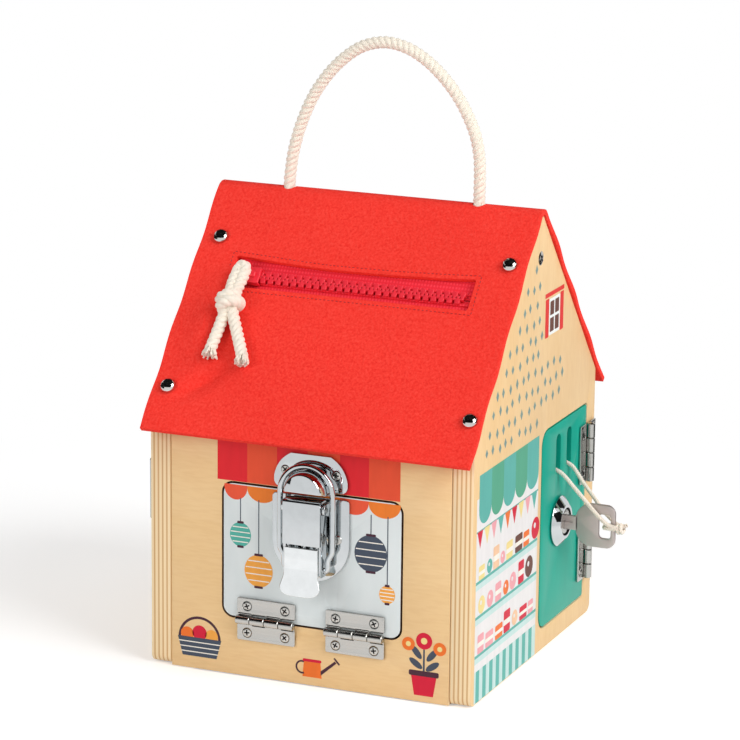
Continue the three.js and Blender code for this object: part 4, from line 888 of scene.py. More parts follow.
@dataclass(frozen=True)
class Ropes:
    """The carrying handle with its knots, the zip's pull, and the key's string."""

    handle_centre: float = 1.4
    handle_bend: Flat = (0.2215, 0.232)
    handle_sink: float = 3.2
    inside_middle: float = 204.0
    inside_end: float = 181.0
    inside_knot: float = 185.2
    yarns: int = 64
    yarn_spread: float = 2.6
    handle_stretch: float = 98.5 / 97
    handle_route: Sequence[Flat] = ((-48.5, 3.3), (-47.8, 9.8), (-46.3, 18.8), (-42.8, 30.8), (-37.5, 43.3),
            (-30.9, 53.8), (-22.3, 63.4), (-12, 70.8), (-0.5, 73.8), (10.5, 72.1), (20.3, 67.1), (28.8, 60),
            (36, 51.8), (41.6, 42.8), (46, 32.8), (48.2, 22.3), (48.6, 11.8), (48.5, 3.3))
    string_route: Sequence[Point] = ((0, 0, 32.4), (-1.9, 0.6, 30.6), (-2.9, 1.9, 26.5), (-2.9, 6.2, 21),
            (-2.7, 12.2, 15), (-2.5, 18.7, 8.5), (-2.3, 24.1, 3), (-2.3, 26.1, -0.5), (-2.2, 26.7, -4.5),
            (-1.1, 26.9, -7.2), (1.7, 26.9, -8.1), (5.3, 26.8, -8.3), (9, 26.9, -8.1), (11.7, 26.9, -7.2),
            (12.8, 26.7, -4.5), (12.9, 26.1, -0.5), (12.4, 24.1, 3), (10.3, 18.2, 8.5), (7.9, 12.2, 15),
            (5.3, 6.2, 21.5), (3.6, 1.9, 27.5), (2.1, 0.6, 30.8))
    key_turn: Sequence[Point] = (
        (0, 0, 31.2), (2.4, 0, 30.5), (2.7, 0, 27.6), (2.4, 0, 24.9), (0, 0, 24.2),
        (-2.4, 0, 24.9), (-2.7, 0, 27.6), (-2.4, 0, 30.5),
    )
    string_still: float = 5.0
    string_turns: float = 21.0
    string_tail: Sequence[Point] = ((0.3, 0.5, 32.4), (0.5, 1.1, 33.8), (0.2, 1.8, 35.4))
    knot_place: Flat = (-3.65, -18.6)

    def build(self) -> None:
        """Makes all the ropes."""
        self.handle()
        self.pull()
        self.key_string()

    def handle(self) -> None:
        """Makes the arch over the ridge, and its ends under the ridge with a knot on each."""
        points = [(self.handle_centre + x * self.handle_stretch, 0, HOUSE.felt_peak + rise)
                for x, rise in self.handle_route]
        sunk = [(foot[0], 0, HOUSE.felt_peak - self.handle_sink) for foot in (points[0], points[-1])]
        line = smooth_route([sunk[0], *points, sunk[1]], 20)
        arch = ROPE_MAKE.build("handle_arch", line)
        arch.data.materials.append(ROPE.material())
        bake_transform(arch)
        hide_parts("handle_rope")
        for k, foot in enumerate((points[0][0], points[-1][0])):
            down = smooth_route([(foot, 0, HOUSE.felt_peak - 0.2), (foot, 0, self.inside_middle),
                    (foot, 0, self.inside_end)], 12)
            stem = ROPE_MAKE.build(f"handle_end_{k + 1}", down)
            knot = self.wrap(f"handle_knot_{k + 1}", 4.0, 6.0, 1.6)
            placed(knot, moved(foot, 0, self.inside_knot))
            dressed(merged(f"handle_foot_{k + 1}", [stem, knot]), ROPE, Body.HOUSE, f"rope_knot_{k + 1}")

    def wrap(self, name: str, radius: float, height: float, turns: float, make: Cordage = ROPE_MAKE) -> Piece:
        """Winds a cord round the z axis, as the outer turns of a knot."""
        count = 28
        points = []
        for k in range(count + 1):
            share = k / count
            angle = math.tau * turns * share
            pinch = 1 - 0.45 * (abs(share - 0.5) * 2) ** 4
            points.append((radius * pinch * math.cos(angle), radius * pinch * math.sin(angle),
                    height * (share - 0.5)))
        return make.build(name, smooth_route(points, 4))

    def pull(self) -> None:
        """Makes the pull: the rope doubled under the slider's bridge, knotted, with two ends."""
        knot_x, knot_up = self.knot_place
        knot_out = 8.9
        routes = {
            "pull_strand_1": [(-6.3, -0.4, 6.0), (-6.5, -4.0, 6.6), (-6.2, -9.5, 7.4),
                              (knot_x - 1.0, knot_up, knot_out), (-5.6, -25.5, 7.6), (-6.4, -32.0, 6.6),
                              (-6.9, -37.5, 6.4), (-7.3, -43.3, 6.4)],
            "pull_strand_2": [(-2.7, -0.4, 6.0), (-2.6, -4.0, 6.6), (-2.9, -9.5, 7.4),
                              (knot_x + 1.0, knot_up, knot_out), (-0.4, -25.0, 7.6), (2.8, -31.5, 6.6),
                              (6.2, -38.0, 6.4), (10.0, -45.2, 6.4)],
        }
        made = []
        for name, route in routes.items():
            points = [(HOUSE.slider[0] + x, HOUSE.slider[1] + up, out) for x, up, out in route]
            made.append(self.on_slope(name, points))
        bow = [(-6.3, -0.4, 6.0), (-6.2, 1.9, 5.9), (-4.5, 3.5, 5.9), (-2.8, 1.9, 5.9), (-2.7, -0.4, 6.0)]
        points = [(HOUSE.slider[0] + x, HOUSE.slider[1] + up, out) for x, up, out in bow]
        made.append(self.on_slope("pull_bow", points))
        knot = self.wrap("pull_knot", 4.6, 6.2, 1.7)
        turn = Matrix.Rotation(math.radians(90), 4, "X") @ Matrix.Rotation(math.radians(14), 4, "Y")
        placed(knot, at(FRONT_SLOPE, HOUSE.slider[0] + knot_x, HOUSE.slider[1] + knot_up, knot_out) @ turn)
        made.append(knot)
        made.extend(self.frayed(route[-1], k) for k, route in enumerate(routes.values()))
        pull = merged("rope_pull", made)
        dressed(pull, ROPE, Body.PULL, "zip_pull")

    def on_slope(self, name: str, points: Sequence[Point]) -> Piece:
        """Lays a stretch of rope on the front slope, through points in the slope's frame."""
        line = [FRONT_SLOPE @ p for p in smooth_route(points, 6)]
        return ROPE_MAKE.build(name, line)

    def frayed(self, end: Point, seed: int) -> Piece:
        """Spreads a tuft of loose yarns from a cut end of the pull.

        Args:
            end: The cut end, from the slider's middle: across, up and out.
            seed: Seeds the spread.

        Returns:
            The tuft.
        """
        spread = random.Random(seed)
        middle = at(FRONT_SLOPE, HOUSE.slider[0] + end[0], HOUSE.slider[1] + end[1], end[2])
        master = YARN_MAKE.build("yarn", smooth_route([(0, 2.5, 0), (0, 0, 0), (0.1, -1.6, 0),
                (0.4, -3.4, 0)], 3))
        yarns = []
        for _ in range(self.yarns):
            angle = spread.uniform(0, math.tau)
            reach = self.yarn_spread * math.sqrt(spread.random())
            side, out = reach * math.cos(angle), reach * math.sin(angle)
            lean = Matrix.Rotation(side * spread.uniform(0.12, 0.26), 4, "Z")
            tip = Matrix.Rotation(-out * spread.uniform(0.02, 0.14), 4, "X")
            long = Matrix.Scale(spread.uniform(0.6, 1.25), 4, (0, 1, 0))
            yarns.append(copied(master, "yarn_copy", middle @ moved(side, 0, out) @ lean @ tip @ long))
        bpy.data.objects.remove(master, do_unlink=True)
        return merged(f"frayed_end_{seed}", yarns)

    def key_string(self) -> None:
        """Makes the string through the slots, its turn through the key, its knot and its end."""
        across, up = HOUSE.lock
        lines = {}
        for name, route in (("string_loop", self.string_route), ("string_turn", self.key_turn),
                ("string_end", self.string_tail)):
            points = [(across + x, up + rise, out) for x, rise, out in route]
            lines[name] = [RIGHT @ p for p in smooth_route(points, 8)]
        pieces = [STRING_MAKE.build(name, line) for name, line in lines.items() if name != "string_loop"]
        knot = self.wrap("string_knot", 1.9, 3.2, 2.0, STRING_MAKE)
        placed(knot, at(RIGHT, across, up - 0.3, 32.0))
        others = merged("string_knot_and_end", [*pieces, knot])
        loop = STRING_MAKE.build("string_loop", lines["string_loop"])
        for piece in (others, loop):
            piece.data.materials.append(STRING.material())
            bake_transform(piece)
        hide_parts("key_string")


def outlined(name: str, points: Sequence[Flat], low: float, high: float, matrix: Matrix, edge: float = 0.0,
        holes: Sequence[Piece] = (), degrees: float = 35.0) -> Piece:
    """Makes a plate from an outline: a vertex is extruded round it, filled, and raised.

    Args:
        name: The piece's name.
        points: The outline, in millimetres, anticlockwise.
        low: The plate's back, in millimetres out.
        high: The plate's front.
        matrix: Takes the plate to its place.
        edge: The radius of its rims, in millimetres.
        holes: Tools that are cut out before the rims are rounded, in the plate's own frame.
        degrees: The largest angle that is shaded smooth.

    Returns:
        The piece.
    """
    rest_selection()
    x, y = points[0]
    bpy.ops.mesh.primitive_plane_add(size=MM, location=(x * MM, y * MM, low * MM))
    piece = settled(name)
    bpy.ops.object.mode_set(mode="EDIT")
    bpy.ops.mesh.select_mode(type="VERT")
    bpy.ops.mesh.select_all(action="SELECT")
    bpy.ops.mesh.merge(type="CENTER")
    for next_x, next_y in points[1:]:
        extrude(next_x - x, next_y - y, 0)
        x, y = next_x, next_y
    bpy.ops.mesh.select_all(action="SELECT")
    bpy.ops.mesh.edge_face_add()
    extrude(0, 0, high - low)
    turn_outward()
    cut_by(piece, holes)
    if edge:
        bevelled(piece, edge)
    smooth(piece, degrees)
    return placed(piece, matrix)


def arc(centre: Flat, radius: float, start: float, end: float, steps: int = 8) -> list[Flat]:
    """Gives the points of an arc, from and to angles in degrees."""
    angles = [math.radians(start + (end - start) * k / steps) for k in range(steps + 1)]
    return [(centre[0] + radius * math.cos(a), centre[1] + radius * math.sin(a)) for a in angles]


def oblong(x0: float, y0: float, x1: float, y1: float) -> list[Flat]:
    """Gives the outline of a rectangle."""
    return [(x0, y0), (x1, y0), (x1, y1), (x0, y1)]


def rounded(x0: float, y0: float, x1: float, y1: float, round_: float, steps: int = 6) -> list[Flat]:
    """Gives the outline of a rectangle with round corners."""
    return [*arc((x1 - round_, y0 + round_), round_, -90, 0, steps),
            *arc((x1 - round_, y1 - round_), round_, 0, 90, steps),
            *arc((x0 + round_, y1 - round_), round_, 90, 180, steps),
            *arc((x0 + round_, y0 + round_), round_, 180, 270, steps)]


def oval(x: float, y: float, across: float, up: float | None = None, steps: int = 28,
        turn: float = 0.0) -> list[Flat]:
    """Gives an ellipse's outline from its half sizes and a turn in degrees."""
    tall = across if up is None else up
    lean = math.radians(turn)
    made = []
    for k in range(steps):
        a = math.tau * k / steps
        u, v = across * math.cos(a), tall * math.sin(a)
        made.append((x + u * math.cos(lean) - v * math.sin(lean),
                y + u * math.sin(lean) + v * math.cos(lean)))
    return made


def drilled(radius: float, x: float, y: float, low: float, high: float, steps: int = 32) -> Piece:
    """Makes a round tool for a hole, along z."""
    rest_selection()
    bpy.ops.mesh.primitive_cylinder_add(vertices=steps, radius=radius * MM, depth=(high - low) * MM,
            location=(x * MM, y * MM, (low + high) / 2 * MM))
    return settled("hole_tool")


def raised(name: str, points: Sequence[Flat], centre: Flat, levels: Sequence[Point], matrix: Matrix,
        edge: float = 0.0) -> Piece:
    """Raises a solid from an outline, level by level, each scaled about a centre and moved up.

    Args:
        name: The piece's name.
        points: The first level's outline.
        centre: The centre of the scaling.
        levels: Height, scale of the first outline, and shift up, for each level.
        matrix: Takes the solid to its place.
        edge: The radius of its rims.

    Returns:
        The piece.
    """
    height, scale, shift = levels[0]
    piece = outlined(name, points, height - 1.0, height, HERE)
    chosen(piece)
    bpy.ops.object.mode_set(mode="EDIT")
    mesh = bmesh.from_edit_mesh(piece.data)
    bpy.ops.mesh.select_mode(type="FACE")
    bpy.ops.mesh.select_all(action="DESELECT")
    top = max(mesh.faces, key=lambda face: face.calc_center_median().z)
    top.select_set(True)
    bmesh.update_edit_mesh(piece.data)
    for next_height, next_scale, next_shift in levels[1:]:
        extrude(0, next_shift - shift, next_height - height)
        share = next_scale / scale
        middle = (centre[0] * MM, (centre[1] + next_shift) * MM, next_height * MM)
        bpy.ops.transform.resize(value=(share, share, 1), center_override=middle)
        height, scale, shift = next_height, next_scale, next_shift
    bpy.ops.object.mode_set(mode="OBJECT")
    if edge:
        bevelled(piece, edge, limit=40.0)
    smooth(piece, 40.0)
    return placed(piece, matrix)


def wire(name: str, line: Sequence[Vector], radius: float) -> Piece:
    """Makes a round wire along a line, as a curve that is turned into a mesh."""
    rest_selection()
    chosen(drawn(name, [line], dimensions="3D", bevel_depth=radius * MM, bevel_resolution=6,
            use_fill_caps=True))
    bpy.ops.object.convert(target="MESH")
    return smooth(bpy.context.object, 50.0)


@dataclass(frozen=True)
class ScrewHead:
    """A domed screw head with a cross recess, in millimetres."""

    radius: float
    rise: float
    drop: float = 0.7
    cross_length: float = 0.66
    cross_width: float = 0.17
    cross_depth: float = 0.5

    def build(self, name: str) -> Piece:
        """Turns the head and cuts the cross, with its seat at the origin."""
        r = self.radius
        rings = [(r * 0.7, -self.drop), (r, -0.05), (r, 0.02), (r * 0.9, self.rise * 0.45),
                (r * 0.7, self.rise * 0.75), (r * 0.4, self.rise * 0.95), (r * 0.1, self.rise)]
        head = turned(name, rings, HERE, 28)
        floor = self.rise - self.cross_depth
        long, thin = r * self.cross_length, r * self.cross_width
        bars = [slab("bar", (-long, -thin, floor), (long, thin, self.rise + 1)),
                slab("bar", (-thin, -long, floor), (thin, long, self.rise + 1))]
        return smooth(cut_by(head, bars))

    def recess_faces(self, head: Piece) -> list[int]:
        """Gives the numbers of the faces inside the cross recess."""
        long, thin = self.radius * self.cross_length, self.radius * self.cross_width
        found = []
        for face in head.data.polygons:
            x, y = sorted((abs(face.center.x) / MM, abs(face.center.y) / MM))
            if x <= thin + 0.01 and y <= long + 0.01 and face.center.z > -0.3 * MM and face.area > 0:
                found.append(face.index)
        return found


@dataclass
class Screws:
    """Screw heads modelled once for each size and copied to their places."""

    masters: dict[ScrewHead, Piece] = field(default_factory=dict)
    recesses: dict[ScrewHead, list[int]] = field(default_factory=dict)
    count: int = 0

    def put(self, head: ScrewHead, matrix: Matrix, body: Body, *nodes: str) -> Piece:
        """Copies a head to a place, turned as a driver would leave it.

        Args:
            head: The head's sizes.
            matrix: The place of its seat.
            body: The body that it rides on.
            *nodes: The CAD nodes that it replaces.

        Returns:
            The screw's head.
        """
        if head not in self.masters:
            master = head.build(f"screw_master_{len(self.masters) + 1}")
            self.masters[head] = master
            self.recesses[head] = head.recess_faces(master)
        self.count += 1
        turn = Matrix.Rotation(math.radians((self.count * 37) % 90), 4, "Z")
        piece = copied(self.masters[head], f"screw_head_{self.count}", matrix @ turn)
        dressed(piece, SCREW_NICKEL, body, *nodes)
        # The faces inside the cross recess get the near-black material: painted shade.
        piece.data.materials.append(RECESS_SHADE.material())
        for index in self.recesses[head]:
            piece.data.polygons[index].material_index = 1
        return piece

    def clear(self) -> None:
        """Removes the masters."""
        for master in self.masters.values():
            bpy.data.objects.remove(master, do_unlink=True)
        self.masters.clear()


SCREWS = Screws()
HINGE_SCREW = ScrewHead(2.1, 0.35)
STRIKE_SCREW = ScrewHead(2.1, 0.4)
RIDGE_SCREW = ScrewHead(3.4, 0.45, 1.2)
BUTTON_SCREW = ScrewHead(2.1, 0.4)


@dataclass(frozen=True)
class Hinge:
    """A butt hinge of two leaves with two knuckles each, in millimetres; its axis is local x."""

    length: float = 30.0
    reach: float = 10.5
    leaf: float = 1.0
    barrel: float = 2.1
    axis: float = 2.3
    knuckles: int = 4
    gap: float = 0.34
    pin: float = 1.0
    screw_spacing: float = 19.6
    screw_offset: float = 6.6
    seat: float = 0.3

    def build_leaf(self, name: str, matrix: Matrix) -> Piece:
        """Makes one leaf with its knuckles."""
        half = self.length / 2
        screw_hole = HINGE_SCREW.radius + 0.3
        holes = [drilled(screw_hole, side * self.screw_spacing / 2, self.screw_offset, -1, self.leaf + 1)
                for side in (-1, 1)]
        plate = outlined(name, rounded(-half, self.barrel + 0.3, half, self.reach, 0.9), 0, self.leaf, HERE,
                0.22, holes)
        parts = [plate]
        pitch = self.length / self.knuckles
        for k in range(0, self.knuckles, 2):
            low = -half + k * pitch + self.gap / 2
            high = low + pitch - self.gap
            parts.append(slab("strap", (low, 0.3, 0), (high, self.barrel + 1.2, self.leaf), 0.2))
            turn = moved(low, 0, self.axis) @ ALONG_X
            b, e, long = self.barrel, 0.25, high - low
            parts.append(turned("knuckle", [(b - e, 0), (b, e), (b, long - e), (b - e, long)], turn, 40))
        return placed(merged(name, parts), matrix)

    def build_pin(self, name: str, matrix: Matrix) -> Piece:
        """Makes the pin with a small dome at each end."""
        half, r = self.length / 2, self.pin
        turn = moved(0, 0, self.axis) @ ALONG_X
        rings = [(r * 0.3, -half - 0.35), (r * 0.9, -half - 0.2), (r * 1.2, -half), (r, -half + 0.2),
                (r, half - 0.2), (r * 1.2, half), (r * 0.9, half + 0.2), (r * 0.3, half + 0.35)]
        return turned(name, rings, matrix @ turn, 24)

    def build(self, label: str, matrix: Matrix, door: Body) -> None:
        """Makes a hinge."""
        seated = matrix @ moved(0, 0, self.seat)
        back = seated @ Matrix.Rotation(math.pi, 4, "Z")
        dressed(self.build_leaf(f"{label}_leaf_on_door", seated), NICKEL, door, f"{label}_door_leaf")
        dressed(self.build_leaf(f"{label}_leaf_on_wall", back), NICKEL, Body.HOUSE, f"{label}_wall_leaf")
        dressed(self.build_pin(f"{label}_hinge_pin", seated), NICKEL, Body.HOUSE, f"{label}_pin")
        for side, place, body in ((1, seated, door), (-1, seated, Body.HOUSE)):
            for end in (-1, 1):
                spot = moved(end * self.screw_spacing / 2, side * self.screw_offset, self.leaf - 0.05)
                SCREWS.put(HINGE_SCREW, place @ spot, body)


@dataclass(frozen=True)
class Carcase:
    """Gables, panels and ridge batten: the CAD solids with rounded arrises and wood grain."""

    arris: float = 0.45
    screw_height: float = 198.6

    def build(self) -> None:
        """Makes the carcase."""
        for node in ("right_gable", "left_gable"):
            refined(node, BIRCH_GABLE, Body.HOUSE, self.arris)
        for node, finish in (("front_wall", BIRCH_FRONT), ("back_wall", BIRCH_PANEL),
                ("floor_panel", BIRCH_FLOOR)):
            refined(node, finish, Body.HOUSE, 0.3)
        refined("ridge_batten", BIRCH_BATTEN, Body.HOUSE, 0.3)
        for k, side in enumerate((1, -1)):
            place = at(RIGHT if side > 0 else LEFT, 0, self.screw_height)
            SCREWS.put(RIDGE_SCREW, place, Body.HOUSE, f"ridge_screw_{k + 1}")


@dataclass(frozen=True)
class Felt:
    """The felt roof, one sheet bent over the ridge, in millimetres."""

    thickness: float = 2.6
    bend: float = 4.3
    bend_inset: float = 4.0
    cell: float = 1.75
    window: tuple[float, float, float, float] = (-62.2, 80.0, 61.2, 96.8)
    sag: tuple[Flat, ...] = ((44.0, 95.7), (19.4, 94.7), (-2.5, 94.4), (-16.2, 94.4), (-31.3, 95.0),
            (-46.6, 95.9))
    rope_holes: Flat = (-47.85, 50.65)
    rope_hole: float = 3.2
    stitch_margin: float = 2.2
    stitch_pitch: float = 2.1
    stitch_half_sizes: Point = (0.72, 0.26, 0.24)
    fold_line: float = -66.0
    fold: Flat = (31.0, 92.0)
    fold_height: float = 3.2
    fold_widths: Flat = (9.5, 3.2)
    dent: Flat = (12.0, 46.0)
    dent_line: tuple[float, float, float] = (-61.0, 26.0, 0.9)
    dent_depth: float = 3.6
    dent_width: float = 6.5

    @property
    def bend_centre(self) -> float:
        """Height of the line under the ridge that the sheet bends round."""
        return HOUSE.ridge - self.bend_inset / COSINE

    @property
    def straight(self) -> float:
        """Length of the flat part of a slope, from the eave to where the bend starts."""
        return HOUSE.eave[0] * COSINE + (self.bend_centre - HOUSE.eave[1]) * SINE

    @property
    def bend_length(self) -> float:
        """Length of the bend along the sheet's inner face."""
        return self.bend * 2 * HOUSE.pitch

    def place(self, x: float, along: float) -> Vector:
        """Gives the inner face's point at a distance along the sheet from the front eave."""
        half = self.straight + self.bend_length / 2
        back = along > half
        run = 2 * half - along if back else along
        if run <= self.straight:
            y = -HOUSE.eave[0] + run * COSINE - HOUSE.felt_low * SINE
            z = HOUSE.eave[1] + run * SINE + HOUSE.felt_low * COSINE
        else:
            angle = HOUSE.pitch - (run - self.straight) / self.bend
            y = -self.bend * math.sin(angle)
            z = self.bend_centre + self.bend * math.cos(angle)
        return Vector((x, -y if back else y, z)) * MM

    def build(self) -> None:
        """Makes the sheet, its window, its rope holes and the stitches round the window."""
        width = (HOUSE.half_width + HOUSE.verge) * 2
        length = self.straight * 2 + self.bend_length
        rest_selection()
        bpy.ops.mesh.primitive_grid_add(x_subdivisions=round(width / self.cell),
                y_subdivisions=round(length / self.cell), size=1)
        sheet = bpy.context.object
        sheet.name = "felt_sheet"
        waver = random.Random(4)
        phases = [waver.uniform(0, math.tau) for _ in range(8)]
        for vertex in sheet.data.vertices:
            u, v = vertex.co.x * 2, (vertex.co.y + 0.5) * length
            edge = max(0.0, abs(u) - 0.8) / 0.2
            wave = 0.35 * edge * edge * (math.sin(v / 9.0 + phases[0]) + 0.6 * math.sin(v / 4.3 + phases[1]))
            x = u * width / 2 - math.copysign(edge ** 3 * 0.35 * (1 + math.sin(v / 6.0 + phases[2])), u)
            point = self.place(x, v)
            out = Vector((0, point.y, point.z - 0.1)).normalized()
            vertex.co = point + out * (abs(wave) * 0.4 + self.swell(x, v)) * MM
        chosen(sheet)
        bpy.ops.object.mode_set(mode="EDIT")
        turn_outward()
        if sheet.data.polygons[0].normal.z < 0:
            sheet.data.flip_normals()
        applied(sheet, "SOLIDIFY", thickness=self.thickness * MM, offset=1.0, use_even_offset=True)
        low_x, low_up, high_x, high_up = self.window
        opening = [*arc((low_x + 1.5, low_up + 1.5), 1.5, 180, 270, 5),
                *arc((high_x - 1.5, low_up + 1.5), 1.5, -90, 0, 5),
                *arc((high_x - 1, high_up - 1), 1, 0, 90, 4), *self.sag,
                *arc((low_x + 1, high_up - 1), 1, 90, 180, 4)]
        tool = outlined("window_tool", opening, -2, 6, FRONT_SLOPE)
        holes = [drilled(self.rope_hole, x, 0, HOUSE.felt_peak - 12, HOUSE.felt_peak + 4)
                for x in self.rope_holes]
        cut_by(sheet, [tool, *holes])
        bevelled(sheet, 0.55, limit=50.0)
        smooth(sheet, 60.0)
        dressed(sheet, FELT, Body.HOUSE, "felt_roof")
        stitches = self.stitches()

    def swell(self, x: float, along: float) -> float:
        """Gives how far the felt stands off: it buckles beside the zip's left end, where the pull tugs it."""
        if not self.dent[0] < along < self.fold[1] + 2.0:
            return 0.0
        side = x - self.fold_line
        width = self.fold_widths[0] if side < 0 else self.fold_widths[1]
        upper = self.rise_and_fall(along, self.fold) ** 1.2
        fold = self.fold_height * upper * math.exp(-(side / width) ** 2)
        across, middle, slant = self.dent_line
        away = x - across - slant * (along - middle)
        lower = self.rise_and_fall(along, self.dent) ** 2
        dent = -self.dent_depth * lower * math.exp(-(away / self.dent_width) ** 2)
        return fold + dent

    def rise_and_fall(self, along: float, stretch: Flat) -> float:
        """Gives half a sine wave over a stretch of the sheet, and nothing outside it."""
        share = (along - stretch[0]) / (stretch[1] - stretch[0])
        return math.sin(math.pi * min(max(share, 0.0), 1.0))

    def stitches(self) -> Piece:
        """Sews a row of stitches round the window."""
        margin = self.stitch_margin
        low_x, low_up, high_x, high_up = self.window
        corners = [(low_x - margin, low_up - margin), (high_x + margin, low_up - margin),
                (high_x + margin, high_up + margin), *((x, up + margin) for x, up in self.sag),
                (low_x - margin, high_up + margin)]
        rest_selection()
        bpy.ops.mesh.primitive_uv_sphere_add(segments=8, ring_count=6, radius=MM)
        bpy.context.object.scale = self.stitch_half_sizes
        master = smooth(settled("stitch_master"), 60.0)
        made = []
        for k, start in enumerate(corners):
            end = corners[(k + 1) % len(corners)]
            count = round(math.dist(start, end) / self.stitch_pitch)
            angle = math.atan2(end[1] - start[1], end[0] - start[0])
            for step in range(count):
                share = (step + 0.5) / count
                spot = at(FRONT_SLOPE, start[0] + (end[0] - start[0]) * share,
                        start[1] + (end[1] - start[1]) * share, HOUSE.felt_high - 0.05, angle)
                made.append(copied(master, "stitch", spot))
        bpy.data.objects.remove(master, do_unlink=True)
        return dressed(merged("window_stitches", made), THREAD, Body.HOUSE)


@dataclass(frozen=True)
class Studs:
    """Domed nails that hold the felt."""

    places: Sequence[Flat] = ((-75.9, 23.5), (-73.65, 106.1), (77.8, 23.5), (75.55, 106.1))
    rings: Sequence[Flat] = ((2.2, 2.6), (3.5, 2.9), (3.85, 3.1), (3.85, 3.3), (3.68, 4.1), (3.25, 4.8),
            (2.6, 5.35), (1.75, 5.75), (0.9, 5.95), (0.15, 6.0))

    def build(self) -> None:
        """Makes one stud and copies it to the eight places."""
        master = turned("stud_master", self.rings, HERE, 40, 50.0)
        for label, frame_matrix in (("front", FRONT_SLOPE), ("back", BACK_SLOPE)):
            for k, (across, up) in enumerate(self.places):
                stud = copied(master, f"{label}_stud_{k + 1}", at(frame_matrix, across, up))
                dressed(stud, STUD_NICKEL, Body.HOUSE, f"{label}_roof_stud_{k + 1}")
        bpy.data.objects.remove(master, do_unlink=True)


@dataclass(frozen=True)
class Zip:
    """A chunky moulded zip under the felt's window, in millimetres."""

    line: float = HOUSE.slider[1]
    low: float = -67.7
    high: float = 66.7
    tape: float = 14.0
    slit: float = 0.3
    pitch: float = 4.0
    teeth: int = 29
    centre: float = -0.5

    def build(self) -> None:
        """Makes both sides and the slider."""
        for side, node in ((1, "zip_upper_side"), (-1, "zip_lower_side")):
            self.half(side, node)
        self.build_slider()

    def half(self, side: int, node: str) -> None:
        """Makes a tape with its bead and its teeth.

        Args:
            side: 1 for the upper side and -1 for the lower one.
            node: The CAD node that it replaces.
        """
        near = self.line + side * self.slit
        far = self.line + side * self.tape
        tape = slab(f"tape_{node}", (self.low, min(near, far), -0.9), (self.high, max(near, far), 0), 0.15)
        bead_edges = sorted((self.line + side * 2.2, self.line + side * 3.4))
        bead = slab("bead", (self.low + 1, bead_edges[0], -0.2), (self.high - 1, bead_edges[1], 0.8), 0.4)
        dressed(placed(merged(f"zip_tape_{'upper' if side > 0 else 'lower'}", [tape, bead]), FRONT_SLOPE),
                ZIP_TAPE, Body.HOUSE, node)
        outline = [(-1.3, 3.1), (-1.35, 0.9), (-0.65, 0.25), (-0.95, -0.75), (-0.55, -1.18), (0.55, -1.18),
                (0.95, -0.75), (0.65, 0.25), (1.35, 0.9), (1.3, 3.1)]
        if side < 0:
            outline = [(x, -y) for x, y in reversed(outline)]
        master = outlined("tooth_master", outline, 0.2, 2.5, HERE, 0.3)
        start = self.centre - (self.teeth - 1) * self.pitch / 2 + side * self.pitch / 4
        made = [copied(master, "tooth", at(FRONT_SLOPE, start + k * self.pitch, self.line))
                for k in range(self.teeth)]
        bpy.data.objects.remove(master, do_unlink=True)
        dressed(merged(f"zip_teeth_{'upper' if side > 0 else 'lower'}", made), ZIP_NYLON, Body.HOUSE)

    def build_slider(self) -> None:
        """Makes the slider: a top plate with two side walls and a bridge for the rope."""
        plan = [(4.5, -4.2), (4.5, 4.2), (-1.35, 4.2), (-3.6, 3.2), (-4.5, 2.5), (-4.5, -2.5), (-3.6, -3.2),
                (-1.35, -4.2)]
        top = outlined("slider_top", plan, 2.85, 4.25, HERE, 0.4)
        walls = [slab("wall", (-1.35, low, 0.35), (4.5, low + 0.9, 4.0), 0.2) for low in (-4.2, 3.3)]
        bridge = slab("bridge", (-2.5, -1.5, 4.0), (2.5, 1.5, 5.65), 0.55, 3)
        slider = merged("slider_body", [top, *walls, bridge])
        dressed(placed(slider, at(FRONT_SLOPE, *HOUSE.slider)), ZIP_NYLON, Body.SLIDER, "zip_slider")


